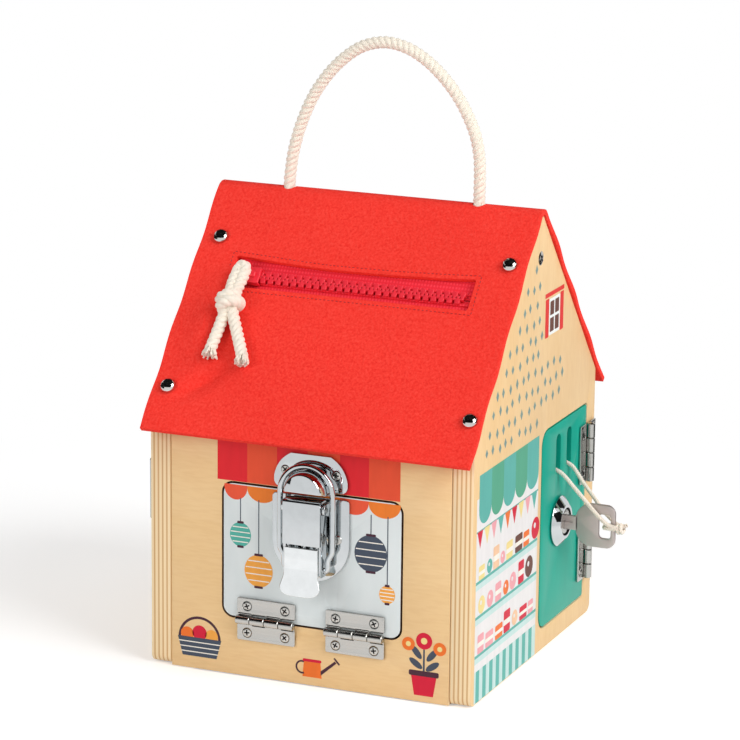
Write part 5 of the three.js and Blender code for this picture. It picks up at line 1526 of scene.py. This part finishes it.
@dataclass(frozen=True)
class Latch:
    """The chromed toggle latch: strike with its boss, base, lever, wire loop and thumb tab."""

    centre: float = 1.3
    strike_bottom: float = 96.6
    base_top: float = 93.6
    sheet: float = 1.2
    lever_pin: Flat = (90.0, 8.5)
    catch_pin: Flat = (73.5, 8.0)
    screw_spacing: float = 26.0
    screw_height: float = 105.3
    wire_out: float = 6.5
    wire_half: float = 13.4

    def build(self) -> None:
        """Makes the latch and its fasteners."""
        self.strike()
        self.base()
        self.lever()
        self.loop()
        self.tab()

    def strike(self) -> None:
        """Makes the strike plate with its half-round boss, and its screws."""
        c, low = self.centre, self.strike_bottom
        bend = [(18.75, 5.27), (17.25, 13.26), (10.2, 17.0)]
        shoulder = []
        for k in range(9):
            t = k / 8
            shoulder.append(tuple(c * (n == 0) + low * (n == 1) + bend[0][n] * (1 - t) ** 2
                    + 2 * bend[1][n] * t * (1 - t) + bend[2][n] * t * t for n in (0, 1)))
        outline = [*arc((c + 15.25, low + 3.5), 3.5, -90, 0), *shoulder,
                *[(2 * c - x, y) for x, y in reversed(shoulder)], *arc((c - 15.25, low + 3.5), 3.5, 180, 270)]
        holes = [drilled(2.25, c + side * self.screw_spacing / 2, self.screw_height, -1, 4)
                for side in (-1, 1)]
        plate = outlined("strike_sheet", outline, 0.3, 1.5, HERE, 0.3, holes)
        dome = [*arc((c, low), 11.0, 0, 180, 40)]
        boss = raised("strike_boss", dome, (c, low),
                [(0.6, 1.0, 0.0), (1.5, 1.0, 0.0), (8.0, 1.0, 0.0), (8.6, 0.985, 0.1), (11.6, 0.845, 1.0),
                (12.3, 0.8, 1.2), (12.5, 0.76, 1.3)], HERE, 0.35)
        strike = placed(merged("strike_and_boss", [plate, boss]), FRONT)
        dressed(strike, CHROME, Body.HOUSE, "strike_plate")
        for k, side in enumerate((-1, 1)):
            SCREWS.put(STRIKE_SCREW, at(FRONT, c + side * self.screw_spacing / 2, self.screw_height, 1.45),
                    Body.HOUSE, f"strike_screw_{k + 1}")

    def base(self) -> None:
        """Makes the base plate with its two ears, its rivets and the lever's pin."""
        c, top = self.centre, self.base_top
        half, low = 19.7, top - 41.6
        outline = [*arc((c + half - 2, top - 2), 2, 0, 90), *arc((c - half + 2, top - 2), 2, 90, 180),
                *arc((c, low + half), half, 180, 360, 40)]
        plate = outlined("latch_plate", outline, 0.3, 1.5, HERE, 0.3)
        ear = [(0.5, 84.7), *arc((8.5, 90.0), 2.7, -90, 90, 14), (0.5, 92.7)]
        ears = [outlined("latch_ear", ear, low_c, low_c + self.sheet, EDGEWISE, 0.25)
                for low_c in (-c - 11.0, -c + 9.8)]
        base = placed(merged("latch_base_and_ears", [plate, *ears]), FRONT)
        dressed(base, CHROME, Body.FRONT_DOOR, "latch_base")
        rivet_rings = [(1.9, 0.9), (2.3, 1.45), (2.3, 1.6), (2.0, 2.05), (1.3, 2.35), (0.3, 2.45)]
        for k, (x, y) in enumerate(((c - 13.8, 74.0), (c + 13.8, 74.0), (c, 56.6))):
            rivet = turned(f"latch_rivet_{k + 1}", rivet_rings, at(FRONT, x, y), 28, 50)
            dressed(rivet, NICKEL, Body.FRONT_DOOR)
        self.pin("lever_pin_rod", *self.lever_pin, 1.0, 11.5, Body.FRONT_DOOR, "lever_pin")
        self.pin("catch_pin_rod", *self.catch_pin, 0.9, 10.0, Body.LEVER, "catch_pin")

    def pin(self, name: str, up: float, out: float, radius: float, half: float, body: Body,
            node: str) -> None:
        """Makes a pin across the latch with a peened head at each end."""
        turn = at(FRONT, self.centre, up, out) @ ALONG_X
        r = radius
        rings = [(r * 0.5, -half), (r * 1.3, -half + 0.15), (r * 1.3, -half + 0.4), (r, -half + 0.45),
                (r, half - 0.45), (r * 1.3, half - 0.4), (r * 1.3, half - 0.15), (r * 0.5, half)]
        dressed(turned(name, rings, turn, 24), NICKEL, body, node)

    def lever(self) -> None:
        """Rounds the lever's pressed channel."""
        refined("latch_lever", CHROME, Body.LEVER, 0.5, 3, 40)

    def loop(self) -> None:
        """Bends the wire loop from foot to foot over the boss."""
        c = self.centre
        side = [(7.9, 59.8), (9.6, 59.8), (10.7, 60.1), (11.1, 61.2), (11.1, 64.0), (11.6, 66.0),
                (12.9, 68.2), *((self.wire_half, up) for up in (70.6, 78.0, 87.0))]
        leg = [(c - x, up, self.wire_out) for x, up in side]
        crown = [(x, y, self.wire_out) for x, y in arc((c, 96.0), self.wire_half, 180, 0, 16)]
        points = [*leg, *crown, *[(2 * c - x, y, out) for x, y, out in reversed(leg)]]
        line = [FRONT @ p for p in smooth_route(points, 4)]
        dressed(wire("latch_wire", line, 1.4), CHROME, Body.LOOP, "latch_loop")

    def tab(self) -> None:
        """Presses the thumb tab: a waisted sheet that flares to a round lip, on two arms."""
        c, top, long = self.centre, 71.2, 23.0
        side = [(8.36, 0.0), (8.4, 6.0), (8.55, 11.5), (8.95, 14.5), (9.7, 17.0), (10.2, 18.8), (9.95, 20.2),
                (9.0, 21.5), (7.2, 22.5), (4.6, 22.95)]
        outline = [(c - x, top - down) for x, down in side]
        outline += [(c + x, top - down) for x, down in reversed(side)]
        sheet = outlined("tab_sheet", outline, 11.5, 12.7, HERE)
        chosen(sheet)
        bpy.ops.object.mode_set(mode="EDIT")
        for k in range(1, 16):
            bpy.ops.mesh.select_all(action="SELECT")
            bpy.ops.mesh.bisect(plane_co=(0, (top - long * (0.4 + 0.6 * k / 16)) * MM, 0), plane_no=(0, 1, 0))
        bpy.ops.object.mode_set(mode="OBJECT")
        for vertex in sheet.data.vertices:
            share = min(max((top * MM - vertex.co.y) / (long * MM), 0.0), 1.0)
            rise = max(0.0, share - 0.42) / 0.58
            vertex.co.z += 2.4 * MM * rise * rise * (2 - rise)
        bevelled(sheet, 0.55, 4, 55.0)
        smooth(sheet, 40.0)
        arm = [*arc((8.0, 73.5), 2.2, -22, 180, 14), (12.1, 63.6), (12.1, 69.8)]
        arms = [outlined("tab_arm", arm, low, low + self.sheet, EDGEWISE, 0.2)
                for low in (-c - 8.0, -c + 6.8)]
        tab = placed(merged("thumb_tab", [sheet, *arms]), FRONT)
        # The tab gets the lighter copy of the chrome: painted light.
        dressed(tab, TAB_CHROME, Body.CATCH, "thumb_catch")


@dataclass(frozen=True)
class FrontDoor:
    """The front door and its two hinges."""

    hinges: Sequence[Flat] = ((-21.6, 28.7), (24.2, 28.7))

    def build(self) -> None:
        """Makes the door's panel and hinges."""
        refined("front_door", WHITE, Body.FRONT_DOOR, 0.4)
        for k, (across, up) in enumerate(self.hinges):
            Hinge().build(f"front_hinge_{k + 1}", at(FRONT, across, up), Body.FRONT_DOOR)


@dataclass(frozen=True)
class SideDoor:
    """The teal side door with its hinges and slots."""

    hinges: Sequence[Flat] = ((71.2, 86.1), (71.2, 35.7))

    def build(self) -> None:
        """Makes the door's panel and hinges."""
        refined("side_door", TEAL, Body.SIDE_DOOR, 0.5, 3)
        for k, (across, up) in enumerate(self.hinges):
            place = at(RIGHT, across, up, 0, math.pi / 2)
            Hinge().build(f"side_hinge_{k + 1}", place, Body.SIDE_DOOR)


@dataclass(frozen=True)
class Lock:
    """The cam lock with its key."""

    bow_near: float = 9.2
    bow_far: float = 29.6
    bow_half: float = 10.95
    blade_tip: float = -5.2
    blade_low: float = -3.5
    blade_high: float = 3.5
    bitting_pitch: float = 1.875

    def build(self) -> None:
        """Makes the lock's body, plug, nut, cam and key."""
        place = at(RIGHT, *HOUSE.lock)
        rings = [(9.0, -10.2), (9.0, 0.3), (12.2, 0.3), (12.5, 0.6), (12.5, 1.0), (12.2, 1.3), (9.9, 3.2),
                (9.1, 3.8), (8.5, 4.25), (7.6, 4.3), (7.0, 4.2), (6.75, 3.7), (6.6, 2.6)]
        barrel = turned("lock_barrel", rings, HERE, 64, 30)
        groove = [face.index for face in barrel.data.polygons
                if 6.0 < math.hypot(face.center.x, face.center.y) / MM < 6.95 and face.center.z > 0]
        dressed(placed(barrel, place), CHROME, Body.SIDE_DOOR, "lock_body")
        # The groove round the plug gets the near-black material: painted shade in the recess.
        barrel.data.materials.append(RECESS_SHADE.material())
        for index in groove:
            barrel.data.polygons[index].material_index = 1
        for node in ("lock_plug", "lock_cam", "cam_screw"):
            refined(node, NICKEL, Body.PLUG, 0.35, 3, 50)
        refined("lock_nut", NICKEL, Body.SIDE_DOOR, 0.3, 2, 50)
        self.key(place)

    def key(self, place: Matrix) -> None:
        """Makes the key: a bow with a long hole, and a blade with its bitting and a groove each side."""
        side_frame = place @ EDGEWISE
        near, far, high = self.bow_near, self.bow_far, self.bow_half
        bow = [*arc((near + 8.6, -high + 8.6), 8.6, 180, 270, 12),
                *arc((far - 4.5, -high + 4.5), 4.5, 270, 360), *arc((far - 4.5, high - 4.5), 4.5, 0, 90),
                *arc((near + 8.6, high - 8.6), 8.6, 90, 180, 12)]
        hole = outlined("key_hole_tool", rounded(21.2, -6.1, 27.4, 6.1, 1.8), -3, 3, HERE)
        bow_piece = outlined("key_bow", bow, -1.0, 1.0, HERE, 0.35, [hole])
        tip, bottom, top = self.blade_tip, self.blade_low, self.blade_high
        blade = [(tip, bottom + 1.5)]
        for k in range(4):
            start = tip + 0.75 + k * self.bitting_pitch
            blade += [(start, bottom), (start + 0.94, bottom + 1.5 * (1.0, 0.6)[k % 2])]
        blade += [(tip + 8.25, bottom), (near + 1.0, bottom), (near + 1.0, top), (tip + 1.5, top)]
        blade_piece = outlined("key_blade", blade, -1.0, 1.0, HERE, 0.15)
        grooves = [slab("groove_tool", (-6, 0.2, low), (near - 1.5, 1.6, low + 1)) for low in (0.55, -1.55)]
        cut_by(blade_piece, grooves)
        key = placed(merged("door_key", [bow_piece, blade_piece]), side_frame)
        dressed(smooth(key), KEY_STEEL, Body.PLUG, "lock_key")


@dataclass(frozen=True)
class LeftDoor:
    """The plain small door of the other gable, with its hinge and turn button."""

    hinge: Flat = (71.2, 86.5)
    button_screw: Point = (12.7, 86.5, 4.25)

    def build(self) -> None:
        """Makes the door, the hinge and the button."""
        refined("left_door", BIRCH_GABLE, Body.LEFT_DOOR, 0.5, 3)
        Hinge().build("left_hinge", at(LEFT, *self.hinge, 0, math.pi / 2), Body.LEFT_DOOR)
        refined("turn_button", BIRCH_GABLE, Body.BUTTON, 0.8, 3, 50)
        SCREWS.put(BUTTON_SCREW, at(LEFT, *self.button_screw), Body.HOUSE, "turn_button_screw")


INKS = {
    "awning_crimson": "#E3262F",
    "awning_scarlet": "#EA5434",
    "scallop_scarlet": "#EE5A3C",
    "scallop_orange": "#F0802F",
    "stall_teal": "#5FB3A8",
    "stall_green": "#58A98A",
    "stall_ground": "#EDE9E8",
    "stall_pale": "#CBE4E0",
    "peach": "#F6C9A2",
    "crimson": "#D81F3C",
    "red": "#E5322F",
    "orange": "#F1762F",
    "pale_orange": "#F6A94B",
    "plum": "#4A2A38",
    "slate": "#47505F",
    "cream": "#F7F1E6",
    "white": "#F4F5F3",
    "teal": "#58B3A4",
    "pink": "#F2A7AE",
    "pale_yellow": "#F4DD93",
    "sage": "#7C9995",
    "brown": "#6B4034",
}


@dataclass
class Print:
    """A printed area: outlines gathered by ink and layer, made into thin films on a wall."""

    name: str
    frame_matrix: Matrix
    body: Body
    slot: str
    base: float = 0.02
    film_half: float = 0.012
    layer_step: float = 0.025
    shapes: dict[tuple[int, str], list[list[Flat]]] = field(default_factory=dict)

    def add(self, layer: int, ink: str, outline: Iterable[Flat]) -> None:
        """Adds an outline to an ink's layer."""
        self.shapes.setdefault((layer, ink), []).append(list(outline))

    def build(self) -> None:
        """Makes one film for each ink and layer, as filled curves that are turned into a mesh."""
        for (layer, ink), outlines in self.shapes.items():
            rest_selection()
            lines = [[(x * MM, y * MM, 0.0) for x, y in outline] for outline in outlines]
            chosen(drawn(f"{self.name}_{ink}_{layer}", lines, True, dimensions="2D", fill_mode="BOTH",
                    extrude=self.film_half * MM))
            bpy.ops.object.convert(target="MESH")
            film = bpy.context.object
            lift = self.base + self.layer_step * layer
            placed(film, self.frame_matrix @ moved(0, 0, lift))
            dressed(film, Ink(f"ink_{ink}", INKS[ink], self.slot), self.body)


def stripes(target: Print, layer: int, inks: Sequence[str], edges: Sequence[float], low: float,
        high: float) -> None:
    """Prints upright stripes between edges."""
    for k, (x0, x1) in enumerate(zip(edges, edges[1:])):
        target.add(layer, inks[k % len(inks)], oblong(x0, low, x1, high))


def scallops(target: Print, layer: int, inks: Sequence[str], edges: Sequence[float], top: float,
        straight: float, drop: float) -> None:
    """Prints the half-round ends of an awning's stripes."""
    for k, (x0, x1) in enumerate(zip(edges, edges[1:])):
        half = (x1 - x0) / 2
        curve = [(x0 + half + half * math.cos(a), top - straight + drop * math.sin(a))
                for a in (math.radians(180 + 12 * step) for step in range(16))]
        target.add(layer, inks[k % len(inks)], [(x0, top), *curve, (x1, top)])


@dataclass(frozen=True)
class FrontPrints:
    """Generic prints of the front: a striped awning, paper lanterns, a basket, a can and a flower pot."""

    edges: Sequence[float] = (-47.5, -32.0, -16.7, -1.0, 15.5, 30.2, 46.0)
    door_edges: Sequence[float] = (-43.9, -32.0, -16.7, -1.0, 15.5, 30.2, 46.3)

    def build(self) -> None:
        """Prints the wall and the door."""
        wall = Print("front_wall_print", FRONT, Body.HOUSE, "birch_plywood")
        stripes(wall, 0, ("awning_crimson", "awning_scarlet"), self.edges, 96.0, 125.6)
        self.basket(wall, -57.0, 6.0)
        self.watering_can(wall, 2.0, 4.0)
        self.pot(wall, 59.0, 3.0, 1.2)
        wall.build()
        door = Print("front_door_print", FRONT, Body.FRONT_DOOR, "white_printed_wood")
        scallops(door, 0, ("scallop_scarlet", "scallop_orange"), self.door_edges, 94.3, 1.2, 6.2)
        for x, y, size, ink in ((-35.5, 70.0, 6.0, "teal"), (-26.0, 53.0, 8.0, "pale_orange"),
                (31.5, 69.0, 9.0, "slate"), (40.0, 50.0, 4.4, "pale_orange")):
            self.lantern(door, x, y, size, ink, 88.0)
        door.build()

    def lantern(self, target: Print, x: float, y: float, size: float, ink: str, top: float) -> None:
        """Prints a ribbed paper lantern on a thread."""
        target.add(1, "slate", oblong(x - 0.25, y + size, x + 0.25, top))
        target.add(1, ink, oval(x, y, size * 0.92, size))
        for share in (-0.6, -0.2, 0.2, 0.6):
            half = size * 0.92 * math.sqrt(1 - share * share)
            target.add(2, "cream", rounded(x - half * 0.94, y + size * share - 0.25, x + half * 0.94,
                    y + size * share + 0.25, 0.2, 2))
        for sign in (-1, 1):
            target.add(2, "plum", rounded(x - size * 0.28, y + sign * size - 0.6, x + size * 0.28,
                    y + sign * size + 0.6, 0.4, 3))

    def pot(self, target: Print, x: float, y: float, scale: float) -> None:
        """Prints a pot with a bush of round flowers."""
        s = scale
        target.add(0, "crimson", [(x - 5.5 * s, y + 9 * s), (x - 4 * s, y), (x + 4 * s, y),
                (x + 5.5 * s, y + 9 * s)])
        target.add(1, "plum", rounded(x - 6.3 * s, y + 8 * s, x + 6.3 * s, y + 10.2 * s, 0.8))
        target.add(0, "slate", [(x - 0.5, y + 10 * s), (x + 0.5, y + 10 * s), (x + 0.4, y + 21 * s),
                (x - 0.4, y + 21 * s)])
        for k, (dx, dy, lean) in enumerate(((-3.4, 13, 35), (3.6, 12.4, -35), (-3.2, 17.6, 50),
                (3.4, 17, -50))):
            target.add(1 + k % 2, "slate", oval(x + dx * s, y + dy * s, 3.3 * s, 1.3 * s, 16, -lean))
        for dx, dy, r, ink in ((0, 22.5, 3.4, "crimson"), (-6.6, 20.6, 2.7, "orange"),
                (6.6, 20.0, 2.7, "orange")):
            target.add(3, ink, oval(x + dx * s, y + dy * s, r * s))
            target.add(4, "pale_yellow", oval(x + dx * s, y + dy * s, r * s * 0.4, None, 12))

    def basket(self, target: Print, x: float, y: float) -> None:
        """Prints a basket of fruit with a hoop handle."""
        hoop = [*arc((x, y + 9), 11.2, 0, 180, 24), *reversed(arc((x, y + 9), 9.9, 0, 180, 24))]
        target.add(0, "plum", hoop)
        for dx, dy, r, ink in ((-6.5, 11, 3.4, "orange"), (0, 12, 3.8, "crimson"),
                (6.4, 11, 3.3, "pale_orange")):
            target.add(1, ink, oval(x + dx, y + dy, r))
        target.add(2, "slate", [(x - 11.5, y + 9.5), (x - 9, y), (x + 9, y), (x + 11.5, y + 9.5)])
        for k in range(3):
            level = y + 1.9 + k * 2.5
            target.add(3, "cream", [(x - 9.6 - k * 0.65, level), (x + 9.6 + k * 0.65, level),
                    (x + 9.7 + k * 0.65, level + 0.5), (x - 9.7 - k * 0.65, level + 0.5)])

    def watering_can(self, target: Print, x: float, y: float) -> None:
        """Prints a small watering can."""
        target.add(0, "orange", [(x - 5, y), (x + 5, y), (x + 4.2, y + 8.5), (x - 4.2, y + 8.5)])
        target.add(1, "plum", [(x + 4.5, y + 1.5), (x + 12.6, y + 8.7), (x + 11.7, y + 9.6),
                (x + 4.4, y + 3.6)])
        target.add(2, "plum", [(x + 11, y + 10.8), (x + 13.8, y + 7.8), (x + 14.4, y + 8.4),
                (x + 11.6, y + 11.4)])
        ring = [*arc((x - 5.2, y + 4.6), 3.4, 70, 290, 16),
                *reversed(arc((x - 5.2, y + 4.6), 2.5, 70, 290, 16))]
        target.add(1, "plum", ring)
        target.add(2, "crimson", rounded(x - 4.8, y + 7.6, x + 4.8, y + 9.0, 0.6))


@dataclass(frozen=True)
class SidePrints:
    """Generic prints of the right gable: a stall with shelves, a gable of diamonds, and a small window."""

    stall: Flat = (-78.5, 3.2)
    window_place: Flat = (20.5, 167.0)

    def build(self) -> None:
        """Prints the gable."""
        left, right = self.stall
        wall = Print("side_wall_print", RIGHT, Body.HOUSE, "birch_plywood")
        wall.add(0, "stall_ground", oblong(left, 0.4, right, 100.0))
        edges = [-75.8 + 15.8 * k for k in range(6)]
        stripes(wall, 1, ("stall_teal", "stall_green"), edges, 94.0, 111.0)
        scallops(wall, 1, ("stall_teal", "stall_green"), edges, 94.0, 0.5, 7.0)
        self.shelves(wall)
        self.pennants(wall)
        self.planks(wall, 0.5, 16.0)
        self.diamonds(wall)
        self.window(wall)
        wall.build()

    def shelves(self, wall: Print) -> None:
        """Prints three shelves with boxes and balls."""
        rng = random.Random(11)
        left, right = self.stall
        inks = ("crimson", "pink", "peach", "pale_yellow", "orange", "stall_teal", "brown", "pink")
        for row, level in enumerate((24.0, 43.0, 60.0)):
            wall.add(1, "stall_pale", oblong(left, level - 4.2, right, level))
            wall.add(2, "stall_teal", oblong(left, level - 1.4, right, level))
            x = -75.0
            while x < -3.5:
                wide = rng.uniform(5.5, 11.0)
                tall = rng.uniform(6.5, 11.5)
                ink = inks[rng.randrange(len(inks))]
                if (row + int(x)) % 3 == 1:
                    wall.add(2, ink, oval(x + wide / 2, level + wide / 2 + 0.1, wide / 2, wide / 2, 20))
                    wall.add(3, "stall_ground", oval(x + wide * 0.4, level + wide * 0.65, wide * 0.13, None,
                            12))
                else:
                    wall.add(2, ink, rounded(x, level, x + wide, level + tall, 0.9, 3))
                    wall.add(3, "cream", rounded(x, level + tall * 0.35, x + wide, level + tall * 0.6, 0.2,
                            2))
                x += wide + rng.uniform(1.2, 3.4)

    def pennants(self, wall: Print) -> None:
        """Prints a row of pennants on a line under the awning."""
        wall.add(1, "stall_teal", oblong(self.stall[0], 83.6, self.stall[1], 84.4))
        inks = ("crimson", "pale_yellow", "pink", "stall_teal", "orange")
        for k in range(9):
            x = -77.5 + 9.0 * k
            wall.add(2, inks[k % len(inks)], [(x, 84.0), (x + 3.6, 75.5), (x + 7.2, 84.0)])

    def planks(self, wall: Print, low: float, high: float) -> None:
        """Prints the stall's front as upright boards between two heights."""
        wall.add(1, "stall_pale", oblong(self.stall[0], low, self.stall[1], high))
        for k in range(9):
            x = -76.5 + 8.8 * k
            wall.add(2, "stall_teal", oblong(x, low, x + 4.4, high))

    def diamonds(self, wall: Print) -> None:
        """Prints diamonds in staggered rows over the gable, a little unevenly."""
        rng = random.Random(5)
        for row in range(10):
            up = 118.5 + row * 8.3
            for k in range(-10, 11):
                across = k * 8.5 + (4.2 if row % 2 else 0.0) + rng.uniform(-1.2, 1.2)
                lift = up + rng.uniform(-1.0, 1.0)
                edge = (HOUSE.ridge - 13.0 - lift) / math.tan(HOUSE.pitch)
                if not -min(edge, 71.0) < across < min(edge, 36.0) or (across > 4.0 and lift > 146.0):
                    continue
                if across > 3.0 and lift < 124.0:
                    continue
                tall = rng.uniform(2.2, 2.8)
                wall.add(1, "sage", [(across, lift + tall), (across - 1.7, lift), (across, lift - tall),
                        (across + 1.7, lift)])

    def window(self, wall: Print) -> None:
        """Prints a small window with red shutters."""
        x, y = self.window_place
        wall.add(1, "white", rounded(x - 7.5, y - 9.0, x + 7.5, y + 9.0, 1.0))
        for side in (-1, 1):
            low, high = sorted((x + side * 7.9, x + side * 12.6))
            wall.add(1, "red", rounded(low, y - 9.5, high, y + 9.5, 0.6))
        for column in (-1, 1):
            for level in (-1, 1):
                wall.add(2, "brown", rounded(x + column * 3.4 - 2.7, y + level * 4.1 - 3.4,
                        x + column * 3.4 + 2.7, y + level * 4.1 + 3.4, 0.3, 2))
        wall.add(1, "red", rounded(x - 13.2, y + 10.2, x + 13.2, y + 12.4, 0.5))


def seen_rays(tree: Tree) -> Socket:
    """Gives 1 on rays from the camera, off metal and through glass, and 0 on the rays that light."""
    path = put(tree, "LightPath")
    first = put(tree, "Math", {"operation": "MAXIMUM"},
            {0: path.outputs["Is Camera Ray"], 1: path.outputs["Is Glossy Ray"]})
    both = put(tree, "Math", {"operation": "MAXIMUM"},
            {0: first.outputs[0], 1: path.outputs["Is Transmission Ray"]})
    return both.outputs[0]


def floor_material() -> Material:
    """White paper that keeps the object's shadow near it and turns to plain white further off."""
    material, tree, shader = begin("studio_white", {"Roughness": 0.7, "Specular IOR Level": 0.1})
    place = put(tree, "TexCoord").outputs["Object"]
    cloud = put(tree, "TexNoise", {"Scale": 2.0}, {0: place})
    tone = ramp(tree, cloud.outputs[0], [(0.2, "#F4F4F4"), (0.8, "#F6F6F6")])
    tree.links.new(tone, shader.inputs["Base Color"])
    seen = seen_rays(tree)
    lift = put(tree, "Math", {"operation": "MULTIPLY", 1: 0.36}, {0: seen})
    glow = put(tree, "Emission", {"Color": (1, 1, 1, 1)}, {"Strength": lift.outputs[0]})
    near = put(tree, "AddShader", links={0: shader.outputs[0], 1: glow.outputs[0]})
    white = put(tree, "Emission", {"Color": (1, 1, 1, 1), "Strength": 1.0})
    reach = put(tree, "VectorMath", {"operation": "LENGTH"}, {0: place})
    far = put(tree, "MapRange", {"From Min": 0.2, "From Max": 0.42, "interpolation_type": "SMOOTHSTEP"},
            {0: reach.outputs["Value"]})
    share = put(tree, "Math", {"operation": "MULTIPLY"}, {0: far.outputs[0], 1: seen})
    final = put(tree, "MixShader", links={0: share.outputs[0], 1: near.outputs[0], 2: white.outputs[0]})
    tree.links.new(final.outputs[0], tree.nodes["Material Output"].inputs["Surface"])
    return material


def dark_card(name: str, place: Point, size: Flat, aim: Point = (0, 0, 0.1)) -> None:
    """Hangs a dark card that only glossy rays see: a painted dark reflection in the metal and the glossy
    paint.

    Args:
        name: Its name.
        place: Its middle, in metres.
        size: Its width and height, in metres.
        aim: The point that it faces.
    """
    rest_selection()
    bpy.ops.mesh.primitive_plane_add(size=1.0, location=place)
    card = bpy.context.object
    card.name = name
    card.scale = (*size, 1.0)
    card.rotation_euler = (Vector(aim) - Vector(place)).to_track_quat("Z", "Y").to_euler()
    card.visible_camera = False
    card.visible_diffuse = False
    card.visible_shadow = False
    card.visible_transmission = False
    material, tree, shader = begin(f"{name}_cloth", {"Roughness": 1.0})
    cloud = put(tree, "TexNoise", {"Scale": 3.0}, {0: put(tree, "TexCoord").outputs["Object"]})
    tree.links.new(ramp(tree, cloud.outputs[0], [(0.3, "#0C0C0D"), (0.7, "#161617")]),
            shader.inputs["Base Color"])
    card.data.materials.append(material)


def studio() -> None:
    """Sets the pale floor, the soft lamps, the dark cards that paint dark reflections, and the white
    surroundings.
    """
    rest_selection()
    bpy.ops.mesh.primitive_plane_add(size=12.0, location=(0, 0, -0.0005))
    floor = bpy.context.object
    floor.name = "studio_floor"
    floor.data.materials.append(floor_material())
    for name, place, aim, size, power in (("key_lamp", (2.6, -0.7, 1.85), (0, 0, 0.1), 2.1, 76.0),
            ("fill_lamp", (-1.5, -2.6, 1.2), (0, 0, 0.1), 1.9, 35.0),
            ("top_lamp", (0.2, 0.6, 2.8), (0, 0, 0.1), 2.2, 10.0)):
        bpy.ops.object.light_add(type="AREA", location=place)
        lamp = bpy.context.object
        lamp.name = name
        lamp.data.shape = "RECTANGLE"
        lamp.data.size = size
        lamp.data.size_y = size
        lamp.data.energy = power
        lamp.visible_glossy = name == "key_lamp"
        lamp.rotation_euler = (Vector(aim) - Vector(place)).to_track_quat("-Z", "Y").to_euler()
    # Cards seen only in reflections: painted dark reflections in the metal and glossy paint.
    dark_card("ceiling", (0, 0, 3.4), (12.0, 12.0))
    dark_card("front_card", (-1.0, -4.0, 2.55), (9.0, 2.3), (-1.0, 0.0, 2.55))
    dark_card("left_card", (-1.0, -0.3, 0.2), (1.5, 0.9))
    dark_card("right_card", (1.0, 0.45, 0.1), (1.3, 0.8))
    dark_card("floor_card", (0.5, 0.42, 0.001), (0.6, 0.62), (0.5, 0.42, 1.0))
    world = bpy.data.worlds.new("studio_world")
    bpy.context.scene.world = world
    world.use_nodes = True
    tree = world.node_tree
    back = tree.nodes["Background"]
    bright = put(tree, "Mix", {"data_type": "FLOAT", 2: 0.28, 3: 1.0}, {0: seen_rays(tree)})
    back.inputs["Color"].default_value = (1, 1, 1, 1)
    tree.links.new(bright.outputs[0], back.inputs["Strength"])


def main() -> None:
    """Builds the scene."""
    logging.basicConfig(level=logging.INFO, format="%(name)s: %(message)s")
    bpy.context.scene.view_settings.view_transform = "Standard"
    Shot().build()
    Ropes().build()
    Carcase().build()
    Felt().build()
    Studs().build()
    Zip().build()
    FrontDoor().build()
    Latch().build()
    SideDoor().build()
    Lock().build()
    LeftDoor().build()
    FrontPrints().build()
    SidePrints().build()
    SCREWS.clear()
    studio()
    rest_selection()


if __name__ == "__main__":
    main()
